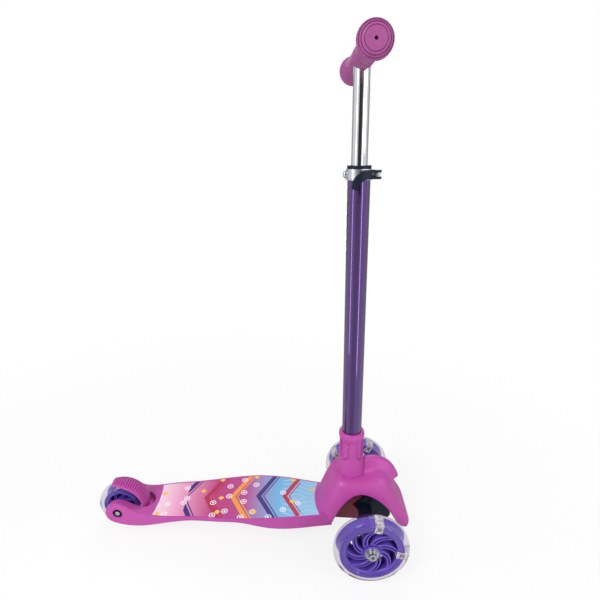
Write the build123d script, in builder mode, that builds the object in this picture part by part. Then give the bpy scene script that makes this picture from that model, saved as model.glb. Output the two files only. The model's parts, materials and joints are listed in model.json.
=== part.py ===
"""Child's three-wheel kick scooter: two lit wheels in front on a leaning truck, one behind under a foot brake.

Millimetres. +X forward, +Y to the rider's left, +Z up. The origin is on the ground, at the middle of the
scooter's length and width. Points of the side view are written from the front axle, as (ahead, height).
"""
import os
from math import cos, radians, sin

from build123d import *

os.makedirs("parts", exist_ok=True)

# Overall sizes
wheelbase = 425.0
nose_reach = 76.0
front_d = 120.0
rear_d = 80.0
track = 200.0
bar_height = 761.5
bar_length = 226.0
rake = 3.27

# The side view's points were drawn for these wheels and this wheelbase
drawn_base = 425.0
drawn_front_r = 60.0
drawn_rear_r = 40.0

# Fits between pieces
running_gap = 0.05
side_gap = 0.3
hole_gap = 0.3

# Wheels and axles
front_width = 25.0
rear_width = 24.0
tyre_h = 9.5
rim_inset = 3.0
front_rim_h = 11.2
rear_rim_h = 8.0
boss_wall = 2.5
axle_d = 8.0
bearing_d = 22.0
bearing_width = 7.0
bearing_out = 12.0
spacer_d = 12.0
bolt_head_d = 13.0
bolt_head_h = 5.0
washer_d = 18.0
washer_h = 1.6
spoke_count = 8
spoke_w = 11.0
spoke_groove_w = 2.6
spoke_groove_h = 3.5
web_h = 2.5
led_angles = {"left": (149.0, 66.0), "right": (82.0, -4.0)}
led_w = 13.0
led_h = 10.0

# Steering tube and height clamp, measured along the tube from its seat in the cover
tube_d = 32.0
tube_wall = 1.5
tube_foot = -34.0
tube_top = 495.5
collar_h = 76.0
collar_flare = 9.0
stem_d = 22.4
stem_wall = 1.6
stem_foot = 330.0
bush_h = 42.0
bush_flange_h = 4.5
bush_flange_out = 0.7
clamp_h = 14.5
clamp_wall = 2.2
ear_h = 12.0
ear_gap = 4.0
ear_w = 4.0
skewer_out = 8.0
skewer_d = 5.0
barrel_d = 7.0
cam_r = 5.0
lever_h = 5.0
button_d = 10.0
button_proud = 4.0
height_step = 18.0
height_holes = 7

# Handlebar
crossbar_d = 22.0
grip_d = 29.0
grip_flange_d = 41.2
grip_end = 6.0
saddle_half = 25.7
saddle_drop = 17.0

# Truck: its pivot leans forward at the top, through the front axle
truck_lean = 45.0
truck_hub_d = 38.0
truck_hub_front = 26.0
truck_beam_d = 24.0
truck_relief_d = 66.0
truck_half = 19.0
head_face = -8.0
kingpin_d = 10.0
bushing_d = 26.0
bushing_h = 7.0

# Deck, head, cover and brake
plank_fore = 140.0
plank_aft = 340.0
deck_wall = 4.0
rib_w = 3.0
film_h = 0.4
film_inset = 3.0
film_margin = 8.0
slot_half = 18.0
head_wall = 5.0
tongue_top = 50.0
tongue_h = 8.0
screw_d = 5.0
screw_head_d = 9.0
cover_wall = 3.5
fin_half = 9.0
fin_round = 4.0
seat_lead = 0.5
pedal_side = 2.5
pedal_gap = 3.6
pedal_h = 3.4
pedal_droop = 8.0
pedal_pin_d = 6.0
pedal_boss_wall = 3.0
slot_lead = 3.25
pin_bite = 9.0
pin_drop = 5.0
boss_lead = 1.5
pedal_from = -8.0
pedal_to = 108.0

# Places that follow from the sizes above
front_r = front_d / 2
rear_r = rear_d / 2
front_x = (wheelbase + rear_r - nose_reach) / 2
rear_x = front_x - wheelbase
front_rise = front_r - drawn_front_r
rear_rise = rear_r - drawn_rear_r
seat_x = front_x - 27.3
seat_z = 131.0 + front_rise
tongue_z = tongue_top + front_rise
lean = radians(truck_lean)
tilt = radians(rake)
bar_s = (bar_height - seat_z) / cos(tilt)
tube_r = tube_d / 2
stem_r = stem_d / 2
bar_r = crossbar_d / 2
boss_r = bearing_d / 2 + boss_wall
skewer_ahead = tube_r + skewer_out
head_half = tube_r + head_wall
collar_foot = tube_r + collar_flare
pedal_half = slot_half - pedal_side
pedal_boss_r = pedal_pin_d / 2 + pedal_boss_wall
clamp_foot = tube_top - clamp_h
button_s = tube_top - clamp_h / 2
axle_r = axle_d / 2
wide = 400.0

tube_axis = (-sin(tilt), 0, cos(tilt))
tube_plane = Plane(origin=(seat_x, 0, seat_z), x_dir=(cos(tilt), 0, sin(tilt)), z_dir=tube_axis)
tube_side = Plane(origin=(seat_x, 0, seat_z), x_dir=(cos(tilt), 0, sin(tilt)), z_dir=(0, -1, 0))
bar_plane = Plane(origin=tube_plane.from_local_coords((0, 0, bar_s)), x_dir=(1, 0, 0), z_dir=(0, 1, 0))
truck_axis = (sin(lean), 0, cos(lean))
truck_plane = Plane(origin=(front_x, 0, front_r), x_dir=(0, 1, 0), z_dir=truck_axis)
rear_plane = Plane(origin=(rear_x, 0, rear_r), x_dir=(1, 0, 0), z_dir=(0, 1, 0))
rear_side = Plane(origin=(rear_x, 0, rear_r), x_dir=(1, 0, 0), z_dir=(0, -1, 0))
pin_at = (rear_r + pedal_boss_r + boss_lead, -pin_drop)
slot_front = rear_x + pin_at[0] + pedal_boss_r + slot_lead


def side(points):
    """Turn side-view points, written from the front axle, into the model's X and Z."""
    return [(front_x + x, z + front_rise) for x, z in points]


def plank_share(x):
    """Tell how far along the plank's stretch a side-view place is, from its front to its rear arms."""
    return min(max((-x - plank_fore) / (plank_aft - plank_fore), 0.0), 1.0)


def plank_x(x):
    """Turn a side-view place on the plank into the model's X, stretched to the wheelbase."""
    return front_x + x - plank_share(x) * (wheelbase - drawn_base)


def plank(points):
    """Turn side-view points of the plank into X and Z, between the heights of its wheels."""
    return [(plank_x(x), z + front_rise + plank_share(x) * (rear_rise - front_rise)) for x, z in points]


def wheel_plane(y):
    """Give the plane across a front wheel's axle at y, whose local Z runs to the left."""
    return Plane(origin=(front_x, y, front_r), x_dir=(1, 0, 0), z_dir=(0, 1, 0))


def under_line(points, floor=0.0):
    """Draw a smooth line of the side view, closed by a level floor."""
    first, last = points[0], points[-1]
    Spline(points)
    Polyline(last, (last[0], floor), (first[0], floor), first)


def both_sides(points):
    """Draw a plan's smooth left edge, its mirror image and two straight ends."""
    mirrored = [(x, -y) for x, y in points]
    Spline(points)
    Spline(mirrored)
    Line(points[0], mirrored[0])
    Line(points[-1], mirrored[-1])


def save(part, name):
    part.label = name
    export_step(part, f"parts/{name}.step")


# Deck: a moulded plank, thin at its edges, with an arm on each side of the rear wheel
deck_top = plank([(-436, 57), (-425, 61), (-412, 58), (-393, 49), (-372, 46.5), (-340, 48.5), (-300, 52),
                  (-250, 56.5), (-200, 61), (-140, 63.5), (-90, 62.5), (-57, 62)])
deck_under = plank([(-57, 42), (-97, 40), (-124, 40), (-158, 43), (-182, 48), (-207, 53), (-245, 51),
                    (-309, 44), (-345, 35), (-380, 23), (-410, 18.5), (-436, 22.5)])
deck_tail = plank([(-446, 40)])[0]
deck_edge = [(-447, 28), (-410, 31), (-372, 37), (-337, 42), (-297, 44), (-261, 48), (-234, 51), (-200, 53.5),
             (-140, 50), (-112, 46), (-79, 41), (-57, 39)]
deck_edge = [(plank_x(x), y) for x, y in deck_edge]
deck_front = deck_top[-1][0]
cavity_back = plank_x(-345)
post_points = [(front_x + x, y) for x in (-74, -104) for y in (-24, 24)]
rib_rows = [plank_x(x) for x in (-320, -280, -240, -200, -160, -125)]
rib_foot = 38.0 + front_rise
rib_side = 16.0

with BuildPart() as deck_cavity:
    with BuildSketch(Plane.XZ):
        with BuildLine():
            under_line([(x, z - deck_wall) for x, z in deck_top])
        make_face()
    extrude(amount=wide, both=True)
    with BuildSketch():
        with BuildLine():
            both_sides([(x, y - deck_wall) for x, y in deck_edge])
        make_face()
    extrude(amount=wide, mode=Mode.INTERSECT)
    with Locations(((cavity_back + deck_front - deck_wall) / 2, 0, 0)):
        Box(deck_front - deck_wall - cavity_back, wide, wide, mode=Mode.INTERSECT)

with BuildPart() as deck_ribs:
    with BuildSketch():
        for y in (-rib_side, rib_side):
            with Locations(((cavity_back + deck_front) / 2, y)):
                Rectangle(deck_front - cavity_back, rib_w)
        for x in rib_rows:
            with Locations((x, 0)):
                Rectangle(rib_w, 2 * rib_side)
        with Locations(post_points):
            Circle(screw_head_d / 2 + 1)
    extrude(amount=wide)
    add(deck_cavity.part, mode=Mode.INTERSECT)
    with BuildSketch(Plane.XY):
        with Locations(((cavity_back + front_x - 115) / 2, 0)):
            Rectangle(front_x - 115 - cavity_back, wide)
    extrude(amount=rib_foot, mode=Mode.SUBTRACT)
    with BuildSketch(Plane.XY):
        with Locations((front_x - 85, 0)):
            Rectangle(60, wide)
    extrude(amount=tongue_z, mode=Mode.SUBTRACT)

with BuildPart() as deck:
    with BuildSketch(Plane.XZ):
        with BuildLine():
            Spline(deck_top)
            Line(deck_top[-1], deck_under[0])
            Spline(deck_under)
            ThreePointArc(deck_under[-1], deck_tail, deck_top[0])
        make_face()
    extrude(amount=wide, both=True)
    with BuildSketch():
        with BuildLine():
            both_sides(deck_edge)
        make_face()
    extrude(amount=wide, mode=Mode.INTERSECT)
    add(deck_cavity.part, mode=Mode.SUBTRACT)
    add(deck_ribs.part)
    # Slot for the rear wheel and the pedal, with a round front end
    with BuildSketch():
        with Locations((slot_front - slot_half - 50, 0)):
            Rectangle(100, 2 * slot_half)
        with Locations((slot_front - slot_half, 0)):
            Circle(slot_half)
    extrude(amount=wide, mode=Mode.SUBTRACT)
    # Rear axle holes and the pockets that take the bolt's head and nut
    with BuildSketch(rear_plane):
        Circle(axle_r)
    extrude(amount=wide, both=True, mode=Mode.SUBTRACT)
    for way in (-1, 1):
        with BuildSketch(rear_plane.offset(way * (slot_half + 6))):
            Circle(bolt_head_d / 2 + 2)
        extrude(amount=way * wide, mode=Mode.SUBTRACT)
    # Hole for the brake's pivot pin
    with BuildSketch(rear_side):
        with Locations(pin_at):
            Circle(pedal_pin_d / 2)
    extrude(amount=slot_half + pin_bite, both=True, mode=Mode.SUBTRACT)
    # Gap in the front wall for the head's tongue
    with Locations((deck_front, 0, 0)):
        Box(4 * deck_wall, 2 * head_half, 2 * tongue_z, mode=Mode.SUBTRACT)
    # Screw holes in the posts
    with BuildSketch():
        with Locations(post_points):
            Circle(screw_d / 2)
    extrude(amount=tongue_z + 6, mode=Mode.SUBTRACT)
save(deck.part, "deck")

# Film on the deck's top, cut to the plan that the print covers
film_edge = [(x, y - film_inset) for x, y in deck_edge]
film_back = slot_front + film_margin
film_front = front_x - 86
film_bulge = 18.0
film_reach = 60.0


def film_outline(grow=0.0):
    """Draw the film's plan, wider than the deck, between its two arched ends."""
    back, front = film_back - grow, film_front + grow
    ThreePointArc((back - 9, -film_reach), (back, 0), (back - 9, film_reach))
    ThreePointArc((front + film_bulge, film_reach), (front, 0), (front + film_bulge, -film_reach))
    Line((back - 9, film_reach), (front + film_bulge, film_reach))
    Line((back - 9, -film_reach), (front + film_bulge, -film_reach))


with BuildPart() as deck_film:
    with BuildSketch(Plane.XZ):
        with BuildLine():
            Spline(deck_top)
            Spline([(x, z + film_h) for x, z in deck_top])
            Line(deck_top[0], (deck_top[0][0], deck_top[0][1] + film_h))
            Line(deck_top[-1], (deck_top[-1][0], deck_top[-1][1] + film_h))
        make_face()
    extrude(amount=wide, both=True)
    with BuildSketch():
        with BuildLine():
            both_sides(film_edge)
        make_face()
    extrude(amount=wide, mode=Mode.INTERSECT)
    with BuildSketch():
        with BuildLine():
            film_outline()
        make_face()
    extrude(amount=wide, mode=Mode.INTERSECT)
save(deck_film.part, "deck_film")

# Steering head: carries the tube's socket and the truck's pivot, and its tongue is screwed under the deck
bore_bottom = tube_plane.from_local_coords((0, 0, tube_foot)).Z


def truck_point(a, b):
    """Give the side-view point at a along the truck's pivot and b square to it, upwards and back."""
    return (front_x + a * sin(lean) - b * cos(lean), front_r + a * cos(lean) + b * sin(lean))


head_clear = truck_hub_d / 2 + 4
head_line = [truck_point(head_face, -20), truck_point(head_face, head_clear), truck_point(12, head_clear)]
head_line += side([(-3, 122), (-47, 122), (-55, 104), (-55, tongue_top), (-112, tongue_top)])
head_line += side([(-112, tongue_top - tongue_h), (-60, tongue_top - tongue_h)])
with BuildPart() as steering_head:
    with BuildSketch(Plane.XZ):
        with BuildLine():
            Polyline(head_line, close=True)
        make_face()
    extrude(amount=head_half, both=True)
    with BuildSketch(Plane.XY.offset(tongue_z - tongue_h)):
        with Locations((front_x - 88, 0)):
            Rectangle(48, 62)
    extrude(amount=tongue_h)
    with BuildSketch(tube_plane.offset(tube_foot)):
        Circle(tube_r)
    extrude(amount=wide, mode=Mode.SUBTRACT)
    with BuildSketch(truck_plane):
        Circle(kingpin_d / 2)
    extrude(amount=-wide, mode=Mode.SUBTRACT)
    with BuildSketch(truck_plane.offset(head_face - 20)):
        Circle(kingpin_d)
    extrude(amount=-wide, mode=Mode.SUBTRACT)
    with BuildSketch(Plane.XY):
        with Locations(post_points):
            Circle(screw_d / 2)
    extrude(amount=tongue_z + 1, mode=Mode.SUBTRACT)
save(steering_head.part, "steering_head")

with BuildPart() as head_screws:
    with BuildSketch(Plane.XY.offset(tongue_z - tongue_h)):
        with Locations(post_points):
            Circle(screw_d / 2)
    extrude(amount=tongue_h + 5)
    with BuildSketch(Plane.XY.offset(tongue_z - tongue_h)):
        with Locations(post_points):
            Circle(screw_head_d / 2)
    extrude(amount=-3)
save(head_screws.part, "head_screws")

# Front cover: a hollow moulding arched over the wheels' axle, with a fin and a wide nose
cover_top = side([(-87, 62), (-77, 73), (-68, 96), (-60, 116), (-53, 131)])
cover_front = side([(-1, 131), (4, 141), (14, 147), (26, 141), (36, 122), (44, 104), (52, 89), (64, 73),
                    (73, 62)])
cover_nose = side([(nose_reach, 53), (70, 46)])
cover_floor = side([(62, 52), (39, 82), (19, 99), (0, 110), (-15, 113.5), (-28, 107), (-38, 97), (-44, 85),
                    (-50, 67), (-54, 50)])
cover_widths = [(46, 39), (60, 43), (85, 45), (105, 43), (120, 37), (131, 29), (140, 21), (148, 8)]
cover_widths = [(z + front_rise, w) for z, w in cover_widths]
cover_plan = [(-92, 46), (0, 46), (48, 45.5), (64, 43.5), (73, 38), (nose_reach, 28)]
cover_plan = [(front_x + x, y) for x, y in cover_plan]
fin_line = side([(-3, 138), (1, 151.5), (10, 155.5), (24, 154), (39.5, 145.5), (49.3, 134), (55.5, 121)])
fin_notch = side([(55.5, 121), (50, 117.5), (45.5, 114), (43, 104), (34, 98)])

with BuildPart() as cover_hollow:
    with BuildSketch(Plane.XZ):
        with BuildLine():
            Polyline(side([(-70, 40), (-70, 80), (-62, 103), (-54, 126), (-4, 126), (10, 140), (22, 136),
                           (31, 121), (40, 103), (49, 86), (60, 71), (69, 60), (70, 40)]), close=True)
        make_face()
    extrude(amount=wide, both=True)
    with BuildSketch(Plane.YZ):
        both_widths = [(w - cover_wall, z - cover_wall) for z, w in cover_widths[:-1]]
        with BuildLine():
            Polyline([(both_widths[0][0], 0)] + both_widths
                     + [(-y, z) for y, z in reversed(both_widths)] + [(-both_widths[0][0], 0)], close=True)
        make_face()
    extrude(amount=wide, both=True, mode=Mode.INTERSECT)

with BuildPart() as cover_fin:
    with BuildSketch(Plane.XZ):
        with BuildLine():
            Spline(fin_line)
            Spline(fin_notch)
            Line(fin_notch[-1], fin_line[0])
        make_face()
    extrude(amount=fin_half, both=True)
    ridges = cover_fin.edges().group_by(SortBy.LENGTH)[-1].filter_by(lambda edge: abs(edge.center().Y) > 1)
    fillet(ridges, fin_round)

with BuildPart() as front_cover:
    with BuildSketch(Plane.XZ):
        with BuildLine():
            Spline(cover_top)
            Line(cover_top[-1], cover_front[0])
            Spline(cover_front)
            ThreePointArc(cover_front[-1], cover_nose[0], cover_nose[1])
            Spline([cover_nose[1]] + cover_floor)
            Polyline(cover_floor[-1], (cover_top[0][0], tongue_z), cover_top[0])
        make_face()
    extrude(amount=wide, both=True)
    with BuildSketch(Plane.YZ):
        with BuildLine():
            wall_left = [(w, z) for z, w in cover_widths]
            wall_right = [(-w, z) for z, w in cover_widths]
            Spline(wall_left)
            Spline(wall_right)
            Line(wall_left[0], wall_right[0])
            Line(wall_left[-1], wall_right[-1])
        make_face()
    extrude(amount=wide, both=True, mode=Mode.INTERSECT)
    with BuildSketch():
        with BuildLine():
            both_sides(cover_plan)
        make_face()
    extrude(amount=wide, mode=Mode.INTERSECT)
    add(cover_fin.part)
    add(cover_hollow.part, mode=Mode.SUBTRACT)
    with BuildSketch(Plane.XZ):
        with BuildLine():
            under_line(deck_top)
        make_face()
    extrude(amount=wide, both=True, mode=Mode.SUBTRACT)
    with BuildSketch():
        with BuildLine():
            film_outline(side_gap)
        make_face()
    extrude(amount=wide, mode=Mode.SUBTRACT)
    with BuildSketch(tube_plane.offset(-20)):
        Circle(tube_r)
    extrude(amount=wide, mode=Mode.SUBTRACT)
    with BuildSketch(tube_plane):
        Circle(wide)
        with Locations((collar_foot + seat_lead + wide / 2, 0)):
            Rectangle(wide, 2 * wide, mode=Mode.SUBTRACT)
    extrude(amount=wide, mode=Mode.SUBTRACT)
save(front_cover.part, "front_cover")

# Collar: a flared sleeve on the tube with a rolled top edge, and four sunk panels with round lower ends
panel_foot = 26.0
panel_top = 61.0
panel_w = 19.6
panel_r = tube_r + 2.9
with BuildPart() as collar_panels:
    for angle in (45, 135):
        outwards = tube_plane.x_dir * cos(radians(angle)) + tube_plane.y_dir * sin(radians(angle))
        with BuildSketch(Plane(tube_plane.origin, x_dir=tube_axis, z_dir=outwards)):
            with Locations(((panel_foot + panel_w / 2 + panel_top) / 2, 0)):
                Rectangle(panel_top - panel_foot - panel_w / 2, panel_w)
            with Locations((panel_foot + panel_w / 2, 0)):
                Circle(panel_w / 2)
        extrude(amount=tube_d, both=True)
    with BuildSketch(tube_plane):
        Circle(panel_r)
    extrude(amount=collar_h, mode=Mode.SUBTRACT)

with BuildPart() as collar:
    with BuildSketch(tube_side):
        with BuildLine():
            Line((tube_r, 0), (collar_foot, 0))
            Spline((collar_foot, 0), (tube_r + 7.5, 10), (tube_r + 5, 26), (tube_r + 4.2, 45), (tube_r + 3.6, 63))
            ThreePointArc((tube_r + 3.6, 63), (tube_r + 5.4, 69), (tube_r + 2.6, collar_h))
            Polyline((tube_r + 2.6, collar_h), (tube_r, collar_h), (tube_r, 0))
        make_face()
    revolve(axis=Axis(tube_plane.origin, tube_axis))
    add(collar_panels.part, mode=Mode.SUBTRACT)
save(collar.part, "collar")

# Lower tube, with a row of height holes down its back
with BuildPart() as lower_tube:
    with BuildSketch(tube_plane.offset(tube_foot)):
        Circle(tube_r)
        Circle(tube_r - tube_wall, mode=Mode.SUBTRACT)
    extrude(amount=tube_top - tube_foot)
    for step in range(height_holes):
        hole_plane = Plane(origin=tube_plane.from_local_coords((0, 0, button_s - step * height_step)),
                           x_dir=(0, 1, 0), z_dir=-tube_plane.x_dir)
        with BuildSketch(hole_plane):
            Circle(button_d / 2 + hole_gap)
        extrude(amount=tube_d, mode=Mode.SUBTRACT)
save(lower_tube.part, "lower_tube")

button_plane = Plane(origin=tube_plane.from_local_coords((0, 0, button_s)), x_dir=(0, 1, 0),
                     z_dir=-tube_plane.x_dir)

# Bush: a flanged sleeve in the tube's mouth, slotted at the back for the button
with BuildPart() as tube_bush:
    with BuildSketch(tube_plane.offset(tube_top - bush_h)):
        Circle(tube_r - tube_wall)
    extrude(amount=bush_h)
    with BuildSketch(tube_plane.offset(tube_top)):
        Circle(tube_r + bush_flange_out)
    extrude(amount=bush_flange_h)
    with BuildSketch(tube_plane.offset(tube_foot)):
        Circle(stem_r + running_gap)
    extrude(amount=wide * 2, mode=Mode.SUBTRACT)
    with BuildSketch(button_plane):
        with Locations((0, bush_h / 2)):
            Rectangle(button_d + 2 * hole_gap, bush_h)
        Circle(button_d / 2 + hole_gap)
    extrude(amount=tube_d, mode=Mode.SUBTRACT)
save(tube_bush.part, "tube_bush")

# Height clamp: a split band with two ears in front, drawn together by a skewer
ear_out = ear_gap / 2 + ear_w
ear_s = button_s - ear_h / 2
with BuildPart() as clamp_band:
    with BuildSketch(tube_plane.offset(clamp_foot)):
        Circle(tube_r + clamp_wall)
    extrude(amount=clamp_h)
    with BuildSketch(tube_plane.offset(ear_s)):
        with Locations(((tube_r + skewer_ahead + 4) / 2, 0)):
            Rectangle(skewer_ahead + 4 - tube_r, 2 * ear_out)
    extrude(amount=ear_h)
    with BuildSketch(tube_plane.offset(clamp_foot)):
        Circle(tube_r)
        with Locations((tube_d, 0)):
            Rectangle(tube_d * 2, ear_gap)
    extrude(amount=clamp_h, mode=Mode.SUBTRACT)
    with BuildSketch(button_plane):
        Circle(button_d / 2 + hole_gap)
    extrude(amount=tube_d, mode=Mode.SUBTRACT)
    with BuildSketch(tube_side):
        with Locations((skewer_ahead, button_s)):
            Circle(skewer_d / 2)
    extrude(amount=tube_d, both=True, mode=Mode.SUBTRACT)
save(clamp_band.part, "clamp_band")

barrel_y = ear_out + cam_r + 0.8
nut_h = 5.0
with BuildPart() as clamp_skewer:
    with BuildSketch(tube_side.offset(-ear_out - nut_h)):
        with Locations((skewer_ahead, button_s)):
            Circle(skewer_d / 2)
    extrude(amount=ear_out + nut_h + barrel_y)
    with BuildSketch(tube_plane.offset(ear_s)):
        with Locations((skewer_ahead, -barrel_y)):
            Circle(barrel_d / 2)
    extrude(amount=ear_h)
save(clamp_skewer.part, "clamp_skewer")

with BuildPart() as clamp_nut:
    with BuildSketch(tube_side.offset(-ear_out)):
        with Locations((skewer_ahead, button_s)):
            RegularPolygon(nut_h, 6)
            Circle(skewer_d / 2, mode=Mode.SUBTRACT)
    extrude(amount=-nut_h)
save(clamp_nut.part, "clamp_nut")

# Lever: a band bent round the tube, forked at its cam so that the skewer passes between two lobes
lever_in = tube_r + clamp_wall + 0.8
lobe_h = 3.2
with BuildPart() as clamp_lever:
    with BuildSketch(tube_side.offset(ear_out + 0.5)):
        with BuildLine():
            Line((skewer_ahead, button_s + 6), (6, button_s + 6))
            Spline((6, button_s + 6), (-4, button_s + 1), (-12, button_s - 18))
            Line((-12, button_s - 18), (-4, button_s - 21))
            Spline((-4, button_s - 21), (2, button_s - 9), (10, button_s - 6))
            Line((10, button_s - 6), (skewer_ahead, button_s - 6))
            Line((skewer_ahead, button_s - 6), (skewer_ahead, button_s + 6))
        make_face()
    extrude(amount=tube_d)
    with BuildSketch(tube_plane):
        Circle(lever_in + lever_h)
        Circle(lever_in, mode=Mode.SUBTRACT)
    extrude(amount=wide * 2, mode=Mode.INTERSECT)
    with BuildSketch(tube_plane.offset(ear_s)):
        with Locations((skewer_ahead, -barrel_y)):
            Circle(cam_r)
        with Locations((skewer_ahead - cam_r, -barrel_y - cam_r / 2)):
            Rectangle(2 * cam_r, cam_r)
    extrude(amount=ear_h)
    with BuildSketch(tube_plane):
        Circle(lever_in)
    extrude(amount=wide * 2, mode=Mode.SUBTRACT)
    with BuildSketch(tube_plane.offset(ear_s)):
        with Locations((skewer_ahead, -barrel_y)):
            Circle(barrel_d / 2 + running_gap)
    extrude(amount=ear_h, mode=Mode.SUBTRACT)
    with BuildSketch(tube_plane.offset(ear_s + lobe_h)):
        with Locations((skewer_ahead + 1, -barrel_y + 2)):
            Rectangle(4 * cam_r, 2 * cam_r + 8)
    extrude(amount=ear_h - 2 * lobe_h, mode=Mode.SUBTRACT)
save(clamp_lever.part, "clamp_lever")

# Handlebar: a chromed stem with a crossbar across its top
with BuildPart() as stem:
    with BuildSketch(tube_plane.offset(stem_foot)):
        Circle(stem_r)
        Circle(stem_r - stem_wall, mode=Mode.SUBTRACT)
    extrude(amount=bar_s - stem_foot)
    with BuildSketch(bar_plane):
        Circle(bar_r)
    extrude(amount=wide, both=True, mode=Mode.SUBTRACT)
    with BuildSketch(button_plane):
        Circle(button_d / 2 + running_gap)
    extrude(amount=tube_d, mode=Mode.SUBTRACT)
save(stem.part, "stem")

bar_half = bar_length / 2 - grip_end
with BuildPart() as crossbar:
    with BuildSketch(bar_plane):
        Circle(bar_r)
        Circle(bar_r - stem_wall, mode=Mode.SUBTRACT)
    extrude(amount=bar_half, both=True)
save(crossbar.part, "crossbar")

guide_r = tube_r - tube_wall - 0.08
with BuildPart() as stem_guide:
    with BuildSketch(tube_plane.offset(stem_foot)):
        Circle(stem_r - stem_wall)
        Circle(stem_r - stem_wall - 2, mode=Mode.SUBTRACT)
    extrude(amount=12)
    with BuildSketch(tube_plane.offset(stem_foot)):
        Circle(guide_r)
        Circle(stem_r - stem_wall - 2, mode=Mode.SUBTRACT)
    extrude(amount=-14)
save(stem_guide.part, "stem_guide")

grip_r = grip_d / 2
flange_r = grip_flange_d / 2
for name, way in (("grip_left", 1), ("grip_right", -1)):
    end = bar_length / 2
    profile = [(bar_r, saddle_half + 0.3), (grip_r, saddle_half + 0.3), (grip_r, saddle_half + 4),
               (grip_r - 0.8, saddle_half + 5), (grip_r - 0.8, end - 28), (grip_r, end - 24)]
    rolled = [(flange_r, end - 10), (flange_r - 4.4, end - 2.6)]
    cap = [(flange_r - 4.4, end - 2.6), (flange_r - 5.0, end - 3.2), (flange_r - 5.4, end - 1.6),
           (flange_r - 6.2, end - 1.4), (flange_r - 6.8, end - 2.2), (flange_r - 7.2, end - 0.6), (9, end), (2, end),
           (2, end - grip_end), (bar_r, end - grip_end), (bar_r, saddle_half + 0.3)]
    with BuildPart() as grip:
        with BuildSketch(Plane(origin=bar_plane.origin, x_dir=(1, 0, 0), z_dir=(0, 0, way))):
            with BuildLine():
                Polyline(profile)
                Spline(profile[-1], (grip_r + 2.5, end - 18), (flange_r - 0.6, end - 13.5), rolled[0])
                ThreePointArc(rolled[0], (flange_r - 1.4, end - 5), rolled[1])
                Polyline(cap)
            make_face()
        revolve(axis=Axis(bar_plane.origin, (0, 1, 0)))
    save(grip.part, name)

with BuildPart() as bar_saddle:
    with BuildSketch(tube_plane.offset(bar_s)):
        Circle(grip_r + 0.4)
    extrude(amount=-saddle_drop - 1)
    with BuildSketch(Plane(origin=bar_plane.origin, x_dir=(1, 0, 0), z_dir=(0, -1, 0))):
        with BuildLine():
            Polyline([(-30, 10), (-30, 6), (0, -saddle_drop), (30, 6), (30, 10)], close=True)
        make_face()
    extrude(amount=wide, both=True, mode=Mode.INTERSECT)
    with BuildSketch(bar_plane):
        Circle(grip_r)
    extrude(amount=saddle_half, both=True)
    with BuildSketch(bar_plane):
        Circle(bar_r)
    extrude(amount=wide, both=True, mode=Mode.SUBTRACT)
    with BuildSketch(tube_plane.offset(bar_s)):
        Circle(stem_r)
    extrude(amount=-wide, mode=Mode.SUBTRACT)
save(bar_saddle.part, "bar_saddle")

# Snap button in the stem's back, and the leaf spring behind it
button_in = stem_r - stem_wall - 2.0
button_out = tube_r + clamp_wall + button_proud
with BuildPart() as snap_button:
    with BuildSketch(button_plane.offset(button_in)):
        Circle(button_d / 2)
    extrude(amount=button_out - button_in)
    fillet(snap_button.edges().sort_by(Axis(button_plane.origin, button_plane.z_dir))[-1], 3.0)
save(snap_button.part, "snap_button")

leaf_h = 0.7
leaf_half = 3.0
leaf_x = ((stem_r - stem_wall) ** 2 - leaf_half ** 2) ** 0.5 - leaf_h / 2 - running_gap
with BuildPart() as button_spring:
    with BuildSketch(tube_side):
        with BuildLine():
            Polyline((-button_in + leaf_h / 2, button_s + 5), (-button_in + leaf_h / 2, button_s - 6),
                     (2, button_s - 48), (leaf_x, button_s - 44), (leaf_x, button_s - 4))
        trace(line_width=leaf_h)
    extrude(amount=leaf_half, both=True)
save(button_spring.part, "button_spring")

# Truck: a beam between the front wheels that turns on the kingpin in front of the head
beam_half = track / 2 - bearing_out - 1.0
truck_face = head_face + side_gap
with BuildPart() as truck:
    with BuildSketch(wheel_plane(0)):
        Circle(truck_beam_d / 2)
    extrude(amount=beam_half, both=True)
    with BuildSketch(truck_plane.offset(truck_face)):
        Circle(truck_hub_d / 2)
    extrude(amount=truck_hub_front - truck_face)
    with BuildSketch(Plane.XZ):
        with BuildLine():
            Polyline(side([(-2, 52), (14, 40), (38, 40), (46, 48), (45, 62), (34, 82), (16, 93)]), close=True)
        make_face()
        fillet(vertices(), 5)
    extrude(amount=truck_half, both=True)
    with BuildSketch(truck_plane.offset(truck_hub_front)):
        Circle(bushing_d / 2 + 3)
    extrude(amount=wide, mode=Mode.SUBTRACT)
    with BuildSketch(truck_plane.offset(truck_face)):
        Circle(truck_relief_d / 2)
    extrude(amount=-wide, mode=Mode.SUBTRACT)
    with BuildSketch(truck_plane):
        Circle(kingpin_d / 2 + running_gap)
    extrude(amount=wide, both=True, mode=Mode.SUBTRACT)
    for way in (-1, 1):
        with BuildSketch(wheel_plane(way * beam_half)):
            Circle(axle_r)
        extrude(amount=-way * 40, mode=Mode.SUBTRACT)
save(truck.part, "truck")

pin_head = truck_hub_front + side_gap + bushing_h
with BuildPart() as truck_bushing:
    with BuildSketch(truck_plane.offset(truck_hub_front + side_gap)):
        Circle(bushing_d / 2)
        Circle(kingpin_d / 2, mode=Mode.SUBTRACT)
    extrude(amount=bushing_h, taper=10)
save(truck_bushing.part, "truck_bushing")

with BuildPart() as kingpin:
    with BuildSketch(truck_plane.offset(head_face - 30)):
        Circle(kingpin_d / 2)
    extrude(amount=pin_head - head_face + 30)
    with BuildSketch(truck_plane.offset(pin_head)):
        RegularPolygon(9, 6)
    extrude(amount=6)
save(kingpin.part, "kingpin")

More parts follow.
